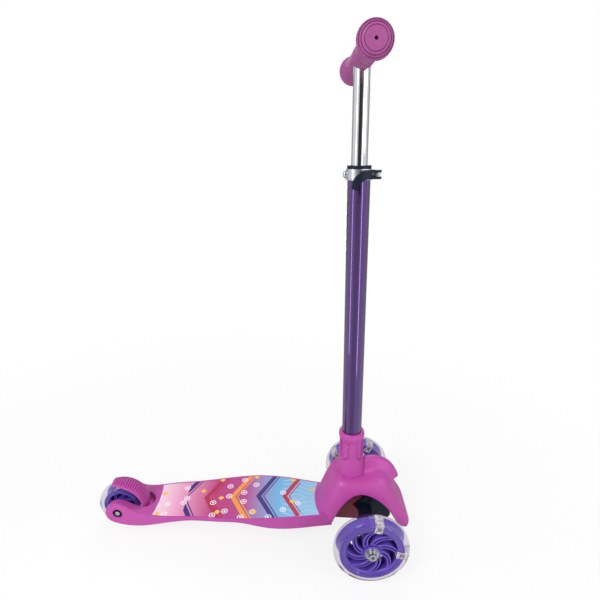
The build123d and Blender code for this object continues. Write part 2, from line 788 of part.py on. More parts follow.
with BuildPart() as kingpin_nut:
    with BuildSketch(truck_plane.offset(head_face - 20)):
        RegularPolygon(9, 6)
        Circle(kingpin_d / 2, mode=Mode.SUBTRACT)
    extrude(amount=-8)
save(kingpin_nut.part, "kingpin_nut")


# Wheels: a moulded hub with swept spokes, a clear cast tyre over its rim, two bearings and the lights
def tyre_part(plane, radius, width, rim_h):
    rim_r = radius - tyre_h
    half = width / 2
    rim_half = half - rim_inset
    lip_r = rim_r - rim_h + 2.5
    with BuildPart() as tyre:
        with BuildSketch(Plane(origin=plane.origin, x_dir=(1, 0, 0), z_dir=(0, 0, 1))):
            with BuildLine():
                Polyline((rim_r, -rim_half), (lip_r, -rim_half), (lip_r, -half + 0.8), (lip_r + 1.5, -half),
                         (rim_r - 2, -half))
                ThreePointArc((rim_r - 2, -half), (radius - 2.6, -half * 0.68), (radius, -half * 0.2))
                Line((radius, -half * 0.2), (radius, half * 0.2))
                ThreePointArc((radius, half * 0.2), (radius - 2.6, half * 0.68), (rim_r - 2, half))
                Polyline((rim_r - 2, half), (lip_r + 1.5, half), (lip_r, half - 0.8), (lip_r, rim_half),
                         (rim_r, rim_half), (rim_r, -rim_half))
            make_face()
        revolve(axis=Axis(plane.origin, (0, 1, 0)))
    return tyre.part


def spoke_face(start, stop, swirl, width):
    """Give one spoke's outline, an arc that sweeps sideways as it runs out to the rim."""
    reach = stop - start
    with BuildSketch() as spoke:
        with BuildLine():
            ThreePointArc((start, 0), (start + reach * 0.5, swirl * reach * 0.14),
                          (start + reach * 0.92, swirl * reach * 0.6))
        trace(line_width=width)
        Circle(stop, mode=Mode.INTERSECT)
    return spoke.sketch


def hub_part(plane, radius, width, rim_h, lights, swirl):
    rim_r = radius - tyre_h
    rim_half = width / 2 - rim_inset
    inner_r = rim_r - rim_h
    reach = inner_r - boss_r
    spoke_half = rim_half - 1.5
    with BuildPart() as hub:
        with BuildSketch(plane):
            Circle(rim_r)
            Circle(inner_r, mode=Mode.SUBTRACT)
        extrude(amount=rim_half, both=True)
        mouths = hub.edges().filter_by(GeomType.CIRCLE).filter_by(lambda edge: edge.radius < inner_r + 0.01)
        mouths = mouths.group_by(Axis.Y)
        chamfer(mouths[0] + mouths[-1], 1.4)
        with BuildSketch(plane):
            Circle(boss_r)
        extrude(amount=bearing_out, both=True)
        # Thin web with a hole between each pair of spokes
        with BuildSketch(plane):
            Circle(inner_r + 1)
            Circle(boss_r - 1, mode=Mode.SUBTRACT)
            with PolarLocations(boss_r + reach * 0.68, spoke_count, start_angle=swirl * 16 + 180 / spoke_count):
                Circle(reach * 0.13, mode=Mode.SUBTRACT)
        extrude(amount=web_h / 2, both=True)
        spoke_w_here = spoke_w * min(reach / 25, 1.0)
        with BuildSketch(plane):
            with PolarLocations(0, spoke_count):
                add(spoke_face(boss_r - 1, inner_r + 1, swirl, spoke_w_here))
        extrude(amount=spoke_half, both=True)
        for way in (-1, 1):
            with BuildSketch(plane.offset(way * spoke_half)):
                with PolarLocations(0, spoke_count):
                    add(spoke_face(boss_r + reach * 0.2, inner_r - 1, swirl, spoke_groove_w * spoke_w_here / spoke_w))
            extrude(amount=-way * spoke_groove_h, mode=Mode.SUBTRACT)
        with BuildSketch(plane):
            Circle(spacer_d / 2 + 1)
        extrude(amount=wide, both=True, mode=Mode.SUBTRACT)
        for way in (-1, 1):
            with BuildSketch(plane.offset(way * bearing_out)):
                Circle(bearing_d / 2)
            extrude(amount=-way * bearing_width, mode=Mode.SUBTRACT)
        if lights:
            with BuildSketch(plane):
                for angle in lights:
                    with Locations(Rotation(0, 0, -angle) * Pos(rim_r - led_h / 2, 0)):
                        Rectangle(led_h, led_w)
            extrude(amount=wide, both=True, mode=Mode.SUBTRACT)
    return hub.part


def light_part(plane, radius, width, lights):
    rim_r = radius - tyre_h
    with BuildPart() as modules:
        with BuildSketch(plane):
            for angle in lights:
                with Locations(Rotation(0, 0, -angle) * Pos(rim_r - led_h / 2, 0)):
                    Rectangle(led_h, led_w)
        extrude(amount=width / 2 - rim_inset, both=True)
        with BuildSketch(plane):
            Circle(rim_r)
        extrude(amount=wide, both=True, mode=Mode.INTERSECT)
    return modules.part


def bearing_part(plane):
    with BuildPart() as bearings:
        for way in (-1, 1):
            with BuildSketch(plane.offset(way * bearing_out)):
                Circle(bearing_d / 2)
                Circle(axle_r + running_gap, mode=Mode.SUBTRACT)
            extrude(amount=-way * bearing_width)
    return bearings.part


def spacer_part(plane):
    half = bearing_out - bearing_width - 0.15
    with BuildPart() as spacer:
        with BuildSketch(plane):
            Circle(spacer_d / 2)
            Circle(axle_r, mode=Mode.SUBTRACT)
        extrude(amount=half, both=True)
    return spacer.part


for side_name, way in (("left", 1), ("right", -1)):
    plane = wheel_plane(way * track / 2)
    save(tyre_part(plane, front_r, front_width, front_rim_h), f"front_tyre_{side_name}")
    lights = led_angles[side_name]
    save(hub_part(plane, front_r, front_width, front_rim_h, lights, -way), f"front_hub_{side_name}")
    save(light_part(plane, front_r, front_width, lights), f"front_lights_{side_name}")
    save(bearing_part(plane), f"front_bearings_{side_name}")
    save(spacer_part(plane), f"front_spacer_{side_name}")
    # Axle bolt, screwed into the beam's end, with a washer under its head
    washer_y = track / 2 + bearing_out + 0.3
    with BuildPart() as axle:
        with BuildSketch(wheel_plane(way * (washer_y + washer_h))):
            Circle(axle_r)
        extrude(amount=-way * (washer_y + washer_h - beam_half + 34))
        with BuildSketch(wheel_plane(way * (washer_y + washer_h))):
            Circle(bolt_head_d / 2)
        extrude(amount=way * bolt_head_h)
        with BuildSketch(wheel_plane(way * (washer_y + washer_h + bolt_head_h))):
            RegularPolygon(3, 6)
        extrude(amount=-way * 3, mode=Mode.SUBTRACT)
    save(axle.part, f"front_axle_{side_name}")
    with BuildPart() as washer:
        with BuildSketch(wheel_plane(way * washer_y)):
            Circle(washer_d / 2)
            Circle(axle_r, mode=Mode.SUBTRACT)
        extrude(amount=way * washer_h)
    save(washer.part, f"front_washer_{side_name}")

save(tyre_part(rear_plane, rear_r, rear_width, rear_rim_h), "rear_tyre")
save(hub_part(rear_plane, rear_r, rear_width, rear_rim_h, (), 1), "rear_hub")
save(bearing_part(rear_plane), "rear_bearings")
save(spacer_part(rear_plane), "rear_spacer")

pocket_y = slot_half + 6
with BuildPart() as rear_axle:
    with BuildSketch(rear_plane.offset(-pocket_y)):
        Circle(axle_r)
    extrude(amount=2 * pocket_y + 6)
    with BuildSketch(rear_plane.offset(-pocket_y)):
        Circle(bolt_head_d / 2)
    extrude(amount=-bolt_head_h)
    with BuildSketch(rear_plane.offset(-pocket_y - bolt_head_h)):
        RegularPolygon(3, 6)
    extrude(amount=3, mode=Mode.SUBTRACT)
save(rear_axle.part, "rear_axle")

with BuildPart() as rear_nut:
    with BuildSketch(rear_plane.offset(pocket_y)):
        RegularPolygon(bolt_head_d / 2, 6)
        Circle(axle_r, mode=Mode.SUBTRACT)
    extrude(amount=6)
save(rear_nut.part, "rear_nut")

with BuildPart() as rear_sleeves:
    for way in (-1, 1):
        with BuildSketch(rear_plane.offset(way * slot_half)):
            Circle(spacer_d / 2)
            Circle(axle_r, mode=Mode.SUBTRACT)
        extrude(amount=-way * (slot_half - bearing_out - 0.3))
save(rear_sleeves.part, "rear_sleeves")

# Foot brake: a crowned leaf over the rear wheel, hinged in the deck's slot
pedal_in = rear_r + pedal_gap
pedal_out = pedal_in + pedal_h
pedal_tail = rear_x - 14
pedal_start = Plane(origin=rear_plane.origin, x_dir=(cos(radians(pedal_from)), 0, sin(radians(pedal_from))),
                    z_dir=(-sin(radians(pedal_from)), 0, cos(radians(pedal_from))))
with BuildPart() as brake_pedal:
    with BuildSketch(pedal_start):
        with BuildLine():
            outer = ThreePointArc((pedal_out - pedal_droop, -slot_half), (pedal_out, 0),
                                  (pedal_out - pedal_droop, slot_half))
            inner = ThreePointArc((pedal_in - pedal_droop, -slot_half), (pedal_in, 0),
                                  (pedal_in - pedal_droop, slot_half))
            Line(outer @ 0, inner @ 0)
            Line(outer @ 1, inner @ 1)
        make_face()
    revolve(axis=Axis(rear_plane.origin, (0, -1, 0)), revolution_arc=pedal_to - pedal_from)
    with BuildSketch(rear_side):
        with Locations(pin_at):
            Circle(pedal_boss_r)
    extrude(amount=slot_half, both=True)
    with BuildSketch():
        with BuildLine():
            CenterArc((slot_front - slot_half, 0), pedal_half, -90, 180)
            Spline((slot_front - slot_half, pedal_half), (rear_x + 8, pedal_half - 1), (pedal_tail, 9.5))
            Spline((slot_front - slot_half, -pedal_half), (rear_x + 8, 1 - pedal_half), (pedal_tail, -9.5))
            ThreePointArc((pedal_tail, 9.5), (pedal_tail - 5, 0), (pedal_tail, -9.5))
        make_face()
    extrude(amount=wide, both=True, mode=Mode.INTERSECT)
    with BuildSketch(rear_side):
        with Locations(pin_at):
            Circle(pedal_pin_d / 2 + running_gap)
    extrude(amount=wide, both=True, mode=Mode.SUBTRACT)
save(brake_pedal.part, "brake_pedal")

with BuildPart() as brake_pin:
    with BuildSketch(rear_side):
        with Locations(pin_at):
            Circle(pedal_pin_d / 2)
    extrude(amount=slot_half + pin_bite, both=True)
save(brake_pin.part, "brake_pin")
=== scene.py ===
# %% [markdown]
# # A child's three-wheel kick scooter
# A solid model already gives every piece its real place and size. This lesson loads it as a fixed frame,
# gives each piece the finish that the real one has, and makes the moulded pieces again as smooth surfaces.
# Those could be sculpted or cut from boxes, but formulas worked out by numpy keep every size in sight.

# %% Load the frame
import json

import bmesh
import bpy
import numpy as np
from mathutils import Matrix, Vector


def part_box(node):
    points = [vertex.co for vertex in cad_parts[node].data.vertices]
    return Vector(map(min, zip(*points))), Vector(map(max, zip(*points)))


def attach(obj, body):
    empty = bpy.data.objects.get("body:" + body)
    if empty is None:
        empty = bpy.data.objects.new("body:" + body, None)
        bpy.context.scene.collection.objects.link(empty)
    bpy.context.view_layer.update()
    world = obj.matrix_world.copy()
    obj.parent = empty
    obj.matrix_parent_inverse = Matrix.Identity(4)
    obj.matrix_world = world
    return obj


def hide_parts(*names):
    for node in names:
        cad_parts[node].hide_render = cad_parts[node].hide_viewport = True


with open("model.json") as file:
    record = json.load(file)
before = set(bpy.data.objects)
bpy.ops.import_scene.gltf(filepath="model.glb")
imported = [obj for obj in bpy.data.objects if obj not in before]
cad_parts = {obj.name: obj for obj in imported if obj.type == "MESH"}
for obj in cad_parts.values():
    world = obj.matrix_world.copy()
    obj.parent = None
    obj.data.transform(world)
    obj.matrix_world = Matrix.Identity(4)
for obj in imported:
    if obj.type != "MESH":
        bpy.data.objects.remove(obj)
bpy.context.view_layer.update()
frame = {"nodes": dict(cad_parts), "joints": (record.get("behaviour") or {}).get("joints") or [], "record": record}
nodes = frame["nodes"]

# %% [markdown]
# ## Where things are
# Places are in metres in the model's own frame: +X forward, +Y to the rider's left, +Z up. The wheels, the
# truck and the brake turn on joints, so their centres are read from the frame. The handlebar's tube leans
# back a little, and what sits on it is measured along the tube.

# %% Places that the pieces share
MM = 0.001
joint_at = {joint["name"]: np.array(joint["pos_m"]) for joint in frame["joints"] if joint.get("pos_m")}
REAR_AXLE = joint_at["rear_spin"]
RAKE = np.radians(3.27)
TUBE_FOOT = np.array([167.2, 0, 131]) * MM
BAR_HEIGHT = 761.5 * MM
FORWARD = np.array([1.0, 0.0, 0.0])
LEFT = np.array([0.0, 1.0, 0.0])
TUBE_UP = np.array([-np.sin(RAKE), 0, np.cos(RAKE)])
TUBE_FORE = np.array([np.cos(RAKE), 0, np.sin(RAKE)])
BAR_AT = TUBE_FOOT + (BAR_HEIGHT - TUBE_FOOT[2]) / np.cos(RAKE) * TUBE_UP
print("rear axle at", REAR_AXLE, "handlebar's middle at", BAR_AT.round(4))

# %% [markdown]
# ## The camera
# The photograph was taken from the rider's right, a little above the clamp, with a short lens. A camera can
# be aimed at a point by a constraint. Here its place and directions were fitted to the outlines of the
# wheels, the tube and the deck, so they are written down as they came out, and the slight roll of the
# photograph is kept.


# %% Camera
def stand(thing, right, up, back, at):
    """Place an object by the directions of its three axes and by where it is."""
    pose = np.eye(4)
    pose[:3] = np.column_stack([right, up, back, at])
    thing.matrix_world = Matrix(pose.tolist())


camera = bpy.data.objects.new("camera", bpy.data.cameras.new("camera"))
bpy.context.collection.objects.link(camera)
camera.data.sensor_width = 36
camera.data.lens = 27
camera_at = np.array([56.3, -644.4, 649.0]) * MM
camera_right = np.array([0.9990, 0.0, 0.0447])
camera_up = np.array([-0.0423, 0.3200, 0.9465])
stand(camera, camera_right, camera_up, np.cross(camera_right, camera_up), camera_at)
bpy.context.scene.camera = camera
print("camera at", camera_at)

# %% [markdown]
# ## Colours and nodes
# Colours are written as they look on a screen, in sRGB hex, and one function turns them to linear light. A
# second small function adds a shader node with its settings and links. Nodes can be wired by hand in the
# editor, but a script of one line to a node can be read, changed and run again.


# %% Colour and node helpers
def linear(hexed):
    """Give the linear RGBA of an sRGB hex colour."""
    srgb = np.array([int(hexed[i:i + 2], 16) for i in (1, 3, 5)]) / 255
    rgb = np.where(srgb <= 0.04045, srgb / 12.92, ((srgb + 0.055) / 1.055) ** 2.4)
    return (*rgb.tolist(), 1.0)


def add_node(tree, kind, inputs=(), stops=(), **settings):
    """Add one node. Its inputs are values, sockets or nodes to link from, by socket name or in order.

    Stops are the (place, hex colour) of a colour ramp, and the settings are the node's own properties.
    """
    made = tree.nodes.new("ShaderNode" + kind)
    for name, value in settings.items():
        setattr(made, name, value)
    for index, (place, hexed) in enumerate(stops):
        row = made.color_ramp.elements
        stop = row[index] if index < 2 else row.new(place)
        stop.position = place
        stop.color = linear(hexed)
    by_socket = inputs if isinstance(inputs, dict) else dict(enumerate(inputs))
    for socket, value in by_socket.items():
        if isinstance(value, bpy.types.Node):
            value = next(output for output in value.outputs if output.enabled)
        if isinstance(value, bpy.types.NodeSocket):
            tree.links.new(value, made.inputs[socket])
        else:
            made.inputs[socket].default_value = value
    return made


def new_material(name, values):
    """Start a material: an empty tree, one Principled shader with its constant values, and its output."""
    material = bpy.data.materials.new(name)
    material.use_nodes = True
    tree = material.node_tree
    tree.nodes.clear()
    shader = add_node(tree, "BsdfPrincipled", values)
    add_node(tree, "OutputMaterial", {"Surface": shader})
    print("material", name)
    return material, tree, shader


def object_place(tree, stretch=(1, 1, 1)):
    """Give the place on the object in metres, stretched along each axis."""
    place = add_node(tree, "TexCoord").outputs["Object"]
    return add_node(tree, "Mapping", {"Vector": place, "Scale": stretch})


print("middle grey is", round(linear("#808080")[0], 3), "in linear light")

# %% [markdown]
# ## Finishes
# Each finish is named for the real material, and starts from that material's usual index and roughness. A
# finish could be one flat colour, but a real moulding drifts in tone where the melt flowed and shines
# unevenly. So one slow noise carries tone and roughness, and a fine one raises the grain of the mould. Some
# finishes also darken their colour in narrow hollows: that is painted shade.


# %% Uneven finishes, and the polypropylene mouldings
def uneven(tree, shader, spot_mm, tones, roughness, stretch=(1, 1, 1), painted_shade=None):
    """Carry the colour between two tones and the roughness between two values on a noise of one spot size.

    The painted shade, (mm, hex colour), darkens the colour towards that hex in gaps of about that width.
    """
    place = object_place(tree, stretch)
    noise = add_node(tree, "TexNoise", {"Vector": place, "Scale": 1 / (spot_mm * MM), "Detail": 3.0})
    dark, pale = map(linear, tones)
    colour = add_node(tree, "Mix", {"Factor": noise, "A": dark, "B": pale}, data_type="RGBA")
    if painted_shade:
        # Painted shade: where ambient occlusion finds the surface hemmed in, the colour is drawn to the dark hex.
        sky = add_node(tree, "AmbientOcclusion", {"Distance": painted_shade[0] * MM}, samples=6, only_local=True)
        shaded = {"Factor": sky.outputs["AO"], "A": linear(painted_shade[1]), "B": colour}
        colour = add_node(tree, "Mix", shaded, data_type="RGBA")
    spread = add_node(tree, "MapRange", {"Value": noise, "To Min": roughness[0], "To Max": roughness[1]})
    tree.links.new(colour.outputs["Result"], shader.inputs["Base Color"])
    tree.links.new(spread.outputs["Result"], shader.inputs["Roughness"])


def grain(tree, shader, grain_mm, height_mm, edge_mm=0):
    """Raise bumps of one width and height, and round off sharp edges to a radius."""
    place = object_place(tree)
    noise = add_node(tree, "TexNoise", {"Vector": place, "Scale": 1 / (grain_mm * MM), "Detail": 2.0})
    bump = add_node(tree, "Bump", {"Height": noise, "Distance": height_mm * MM, "Strength": 1.0})
    if edge_mm:
        edge = add_node(tree, "Bevel", {"Radius": edge_mm * MM}, samples=6)
        tree.links.new(edge.outputs["Normal"], bump.inputs["Normal"])
    tree.links.new(bump.outputs["Normal"], shader.inputs["Normal"])


# Satin polypropylene comes from a finely eroded mould and has a soft sheen without sharp reflections. The
# mould's grain is about 0.1 mm, too fine to show, so on this and the next mouldings it is drawn about five
# times as coarse.
MOULD_GRAIN = 0.5
pink_plastic, tree, shader = new_material("satin_polypropylene_pink", {"IOR": 1.49})
# Its colour is darkened towards deep plum in hollows of about 5 mm: painted shade.
uneven(tree, shader, 60, ("#B33F99", "#BE4AA5"), (0.36, 0.46), painted_shade=(5, "#6A1E5C"))
grain(tree, shader, MOULD_GRAIN, 0.012)

# The plank is the same plastic. Its solid has sharp edges, and a bevel in the shader rounds them for the
# eye.
plank_plastic, tree, shader = new_material("satin_polypropylene_plank", {"IOR": 1.49})
uneven(tree, shader, 60, ("#B03F98", "#BB4AA4"), (0.36, 0.46))
grain(tree, shader, MOULD_GRAIN, 0.012, edge_mm=2.5)

# The head is dark red, and only a dull gleam of it shows in the shade under the cover.
head_plastic, tree, shader = new_material("satin_polypropylene_red", {"IOR": 1.49})
uneven(tree, shader, 40, ("#6E1F33", "#7E2539"), (0.4, 0.5))
grain(tree, shader, MOULD_GRAIN, 0.012, edge_mm=1.5)

# %% Nylons
# Nylon fills a mould better, so the hubs are glossier. Their deep pockets are darkened to blue-black with painted
# shade.
hub_plastic, tree, shader = new_material("moulded_nylon_purple", {"IOR": 1.52})
uneven(tree, shader, 25, ("#553BA6", "#664ABA"), (0.28, 0.38), painted_shade=(9, "#1E1450"))
grain(tree, shader, 0.4, 0.008)

# Glass fibres under the skin of this nylon dull it, so its navy stays deep with little reflection.
navy_nylon, tree, shader = new_material("glass_filled_nylon_navy", {"IOR": 1.52, "Specular IOR Level": 0.2})
uneven(tree, shader, 12, ("#0E1424", "#161D32"), (0.36, 0.5))
grain(tree, shader, MOULD_GRAIN, 0.015, edge_mm=0.8)

# %% Plastics of the lights
# Frosted polycarbonate lets some light in and scatters it, so the lamp cases look milky.
lamp_case, tree, shader = new_material("frosted_polycarbonate", {"IOR": 1.58, "Transmission Weight": 0.35})
uneven(tree, shader, 4, ("#E6E6EA", "#F6F6F8"), (0.2, 0.35))

# The lamps' boards are epoxy laminate: a flat mottled grey.
chip_grey, tree, shader = new_material("epoxy_board_grey", {"IOR": 1.5})
uneven(tree, shader, 2, ("#6E7178", "#8D9096"), (0.4, 0.55))

# %% Rubbers
# Soft moulded rubber has a coarser grain than the plastic beside it and looks duller and greyer.
grip_rubber, tree, shader = new_material("soft_rubber_pink", {"IOR": 1.5})
# The narrow grooves of the grips and the saddle are darkened with painted shade.
uneven(tree, shader, 30, ("#944180", "#A04B8C"), (0.5, 0.62), painted_shade=(3, "#7C3269"))
grain(tree, shader, 0.6, 0.02)

# Cast black rubber, on the truck's bushing, has almost no gloss.
black_rubber, tree, shader = new_material("cast_rubber_black", {"IOR": 1.5})
uneven(tree, shader, 8, ("#131316", "#1D1D21"), (0.6, 0.75))

# %% Metals
# The lower tube is drawn aluminium with a coloured anodised skin under a clear seal. The seal gives sharp
# bright streaks, and drawing leaves faint lines along the tube, which are the noise stretched fifty times
# along Z. Real draw lines are a tenth of a millimetre wide, too fine to show, so they are drawn 1.6 mm
# wide.
tube_metal, tree, shader = new_material("anodised_aluminium_purple", {
    "Metallic": 0.95, "Coat Weight": 1.0, "Coat Roughness": 0.05, "Coat IOR": 1.6})
uneven(tree, shader, 1.6, ("#472369", "#583284"), (0.1, 0.16), stretch=(1, 1, 0.02))

# Chrome plate is almost a mirror, so its look is the room's.
chrome, tree, shader = new_material("chrome_plate", {"Metallic": 1.0})
uneven(tree, shader, 20, ("#D4D6DA", "#DFE0E3"), (0.04, 0.1))

# Zinc plate, on the fasteners, is bright but blurs what it reflects.
bright_steel, tree, shader = new_material("zinc_plated_steel", {"Metallic": 1.0})
uneven(tree, shader, 3, ("#A9ABAF", "#C4C6C9"), (0.22, 0.36))

# The clamp's band is cast and tumbled, which leaves a pale satin.
band_metal, tree, shader = new_material("satin_cast_aluminium", {"Metallic": 1.0})
uneven(tree, shader, 5, ("#BFC2C6", "#D5D7DA"), (0.2, 0.34))

# Black oxide is a thin dark skin on steel, and it still glints.
black_steel, tree, shader = new_material("black_oxide_steel", {"Metallic": 1.0})
uneven(tree, shader, 2, ("#20222A", "#34363E"), (0.25, 0.4))

# %% [markdown]
# The tyres are cast urethane, a dense clear plastic with a slightly grey tint. It could be mixed from glass
# and transparent shaders, but the Principled shader's transmission exports whole. Its skin is a little
# uneven, so the wheel behind it looks streaked.

# %% Clear tyres
# The real index is about 1.5. A lower one matched the photograph's clear rims better.
clear_urethane, tree, shader = new_material("clear_cast_urethane", {
    "Base Color": linear("#DAD4DC"), "Transmission Weight": 1.0, "IOR": 1.15, "Roughness": 0.05,
    "Coat Weight": 0.5, "Coat Roughness": 0.04})
grain(tree, shader, 9, 0.12)

# %% [markdown]
# ## Printed film
# The deck's top is a vinyl film with a bright print under its clear skin. A print could be an image, but a
# pattern worked out from the place on the deck, in millimetres, stays sharp at any size. Its ground runs
# from pale pink at the back through raspberry to light blue in front. Waves run over the blue, chevrons
# cross the rest every 46 mm, and rings, dots and diamonds of about a centimetre lie scattered on top. A
# stretch of the deck is written as its middle and half width, because the Math node's COMPARE gives 1 just
# there.

# %% Ground and waves of the print
printed_film, tree, shader = new_material("printed_vinyl_film", {"IOR": 1.4, "Roughness": 0.5})
apart = add_node(tree, "SeparateXYZ", (object_place(tree),))
fore = add_node(tree, "Math", (apart.outputs["X"], 1 / MM), operation="MULTIPLY")
off_middle = add_node(tree, "Math", (apart.outputs["Y"],), operation="ABSOLUTE")
aside = add_node(tree, "Math", (off_middle, 1 / MM), operation="MULTIPLY")
GROUND_BACK, GROUND_FRONT = -166, 124
along = add_node(tree, "MapRange", {"Value": fore, "From Min": GROUND_BACK, "From Max": GROUND_FRONT})
ground = add_node(tree, "ValToRGB", (along,), stops=[
    (0.0, "#F3D3E2"), (0.14, "#E79AC2"), (0.34, "#B93A7C"), (0.52, "#B5468F"), (0.72, "#6FB0DE"),
    (1.0, "#9CCFEC")])

WAVE_RUN, WAVE_SWING, WAVE_RATE, WAVE_CREST = 7, 4, 0.62, 0.86
WAVE_STRETCH = (96, 44)
run = add_node(tree, "Math", (fore, WAVE_RUN), operation="DIVIDE")
swing = add_node(tree, "Math", (run,), operation="SINE")
swirl = add_node(tree, "Math", (swing, WAVE_SWING, aside), operation="MULTIPLY_ADD")
phase = add_node(tree, "Math", (swirl, WAVE_RATE), operation="MULTIPLY")
crest = add_node(tree, "Math", (phase,), operation="SINE")
wave = add_node(tree, "Math", (crest, WAVE_CREST), operation="GREATER_THAN")
wave_part = add_node(tree, "Math", (fore, *WAVE_STRETCH), operation="COMPARE")
print("ground and waves made of", len(tree.nodes), "nodes")

# %% Chevrons of the print
CHEVRON_EVERY, CHEVRON_SLANT, INK_STEP = 46, -0.55, 0.26
CHEVRON_STRETCH = (-17, 101)
BROAD_BAR, FINE_BAR = (0.2, 0.1), (0.385, 0.025)
slanted = add_node(tree, "Math", (aside, CHEVRON_SLANT, fore), operation="MULTIPLY_ADD")
chevron = add_node(tree, "Math", (slanted, CHEVRON_EVERY), operation="DIVIDE")
across_chevron = add_node(tree, "Math", (chevron,), operation="FRACT")
broad = add_node(tree, "Math", (across_chevron, *BROAD_BAR), operation="COMPARE")
fine = add_node(tree, "Math", (across_chevron, *FINE_BAR), operation="COMPARE")
bars = add_node(tree, "Math", (broad, fine), operation="MAXIMUM")
chevron_part = add_node(tree, "Math", (fore, *CHEVRON_STRETCH), operation="COMPARE")
number = add_node(tree, "Math", (chevron,), operation="FLOOR")
stepped = add_node(tree, "Math", (number, INK_STEP), operation="MULTIPLY")
ink_choice = add_node(tree, "Math", (stepped,), operation="FRACT")
inks = add_node(tree, "ValToRGB", (ink_choice,), stops=[
    (0.0, "#3B2A7A"), (0.25, "#B5294F"), (0.5, "#EE9A3A"), (0.75, "#4A9AD4")])
inks.color_ramp.interpolation = "CONSTANT"
print("chevrons every", CHEVRON_EVERY, "mm")


# %% Scattered motifs, and all inks laid over the ground
def scattered(tree, place, cell_mm, metric, chance):
    """Scatter middles a cell apart: give the distance in mm to the nearest, and 1 where its cell shows.

    Each cell has a random colour, and the cells whose red is below the chance show.
    """
    cells = add_node(tree, "TexVoronoi", {"Vector": place, "Scale": 1 / (cell_mm * MM), "Randomness": 0.75},
                     voronoi_dimensions="2D", distance=metric)
    away = add_node(tree, "Math", (cells.outputs["Distance"], cell_mm), operation="MULTIPLY")
    red = add_node(tree, "SeparateColor", (cells.outputs["Color"],)).outputs["Red"]
    return away, add_node(tree, "Math", (red, chance), operation="LESS_THAN")


RING, DOT_R, DIAMOND_R = (4.65, 0.75), 1.9, 5.2
from_ring, ring_shows = scattered(tree, object_place(tree), 25, "EUCLIDEAN", 0.5)
hoop = add_node(tree, "Math", (from_ring, *RING), operation="COMPARE")
dot = add_node(tree, "Math", (from_ring, DOT_R), operation="LESS_THAN")
ring = add_node(tree, "Math", (hoop, dot), operation="MAXIMUM")
from_diamond, diamond_shows = scattered(tree, object_place(tree, (1, -1, 1)), 33, "MANHATTAN", 0.4)
diamond = add_node(tree, "Math", (from_diamond, DIAMOND_R), operation="LESS_THAN")
layers = [(linear("#A9D3EE"), wave, wave_part), (inks, bars, chevron_part),
          (linear("#F8F1F6"), ring, ring_shows), (linear("#F6C24A"), diamond, diamond_shows)]
for ink, motif, where in layers:
    share = add_node(tree, "Math", (motif, where), operation="MULTIPLY")
    ground = add_node(tree, "Mix", {"Factor": share, "A": ground, "B": ink}, data_type="RGBA")
tree.links.new(ground.outputs["Result"], shader.inputs["Base Color"])
print("print made of", len(tree.nodes), "nodes")

# %% [markdown]
# ## Finishes on the solid pieces
# Tubes, bolts, the clamp and the deck have their true shape in the solid model, so they keep it and only
# take a finish. The record names a material slot for every piece, and one table turns slots into finishes.

# %% Assign the finishes
finish_of_slot = {
    "body_pink": pink_plastic, "head_red": head_plastic, "grip_pink": grip_rubber, "print": printed_film,
    "tube_purple": tube_metal, "chrome": chrome, "hub_purple": hub_plastic, "clear_tyre": clear_urethane,
    "navy": navy_nylon, "silver": band_metal, "steel": bright_steel, "led_case": lamp_case,
    "bushing": black_rubber}
for subpart in frame["record"]["subparts"]:
    mesh = nodes[subpart["node"]].data
    mesh.materials.clear()
    mesh.materials.append(finish_of_slot[subpart["material_slot"]])
nodes["rear_axle"].data.materials[0] = black_steel
nodes["deck"].data.materials[0] = plank_plastic

# %% [markdown]
# ## Surfaces from numbers
# A moulded piece is a grid of points: one parameter runs along the piece and the other round it or across
# it. The points come from whole-array sums, and the faces only join neighbours in the grid. Modifiers could
# round a rough shape instead, but then its sizes would drift. Doubled points at seams and poles are merged,
# so that each skin is closed.


# %% Lines through points
def through(places, values, at):
    """Give the natural cubic spline through values that are known at rising places, at other places.

    One linear system gives the spline's bend at each place. Between two places it is a straight line from
    value to value, plus a cubic that has those bends at its ends.
    """
    places, values, at = (np.asarray(given, float) for given in (places, values, at))
    column = (-1, *[1] * (values.ndim - 1))
    step = np.diff(places)
    slope = np.diff(values, axis=0) / step.reshape(column)
    system = np.diag(np.r_[1, 2 * (step[:-1] + step[1:]), 1])
    system += np.diag(np.r_[step[:-1], 0], -1) + np.diag(np.r_[0, step[1:]], 1)
    change = np.zeros_like(values)
    change[1:-1] = 6 * np.diff(slope, axis=0)
    bend = np.linalg.solve(system, change)
    cell = np.clip(np.searchsorted(places, at) - 1, 0, len(step) - 1)
    width = step[cell].reshape(column)
    before = (at - places[cell]).reshape(column)
    after = (places[cell + 1] - at).reshape(column)
    cubic = (bend[cell] * after ** 3 + bend[cell + 1] * before ** 3) / (6 * width)
    from_low = (values[cell] / width - bend[cell] * width / 6) * after
    from_high = (values[cell + 1] / width - bend[cell + 1] * width / 6) * before
    return cubic + from_low + from_high


def smooth_profile(corners, count):
    """Give count points of the smooth line through corners, spaced by the corners' own distances."""
    corners = np.asarray(corners, float)
    run = np.r_[0, np.cumsum(np.linalg.norm(np.diff(corners, axis=0), axis=1))]
    return through(run, corners, np.linspace(0, run[-1], count))


def step_up(value, low, high):
    """Rise smoothly from 0 at low to 1 at high: three squares less two cubes of the way between them."""
    way = np.clip((value - low) / (high - low), 0, 1)
    return way * way * (3 - 2 * way)


print("spline test, 0.5 between 0 and 1:", through([0, 1, 2], [0, 1, 2], [0.5]))

# %% Grids into pieces
MERGE_WITHIN = 2e-6
NO_LENGTH = 1e-7


def joined(rows, cols, wrap_rows, wrap_cols):
    """Give the four-sided faces between neighbours of a grid, which may close on itself either way."""
    row, col = np.indices((rows - (not wrap_rows), cols - (not wrap_cols)))
    next_row, next_col = (row + 1) % rows, (col + 1) % cols
    corners = [row * cols + col, next_row * cols + col, next_row * cols + next_col, row * cols + next_col]
    return np.stack(corners, axis=-1).reshape(-1, 4)


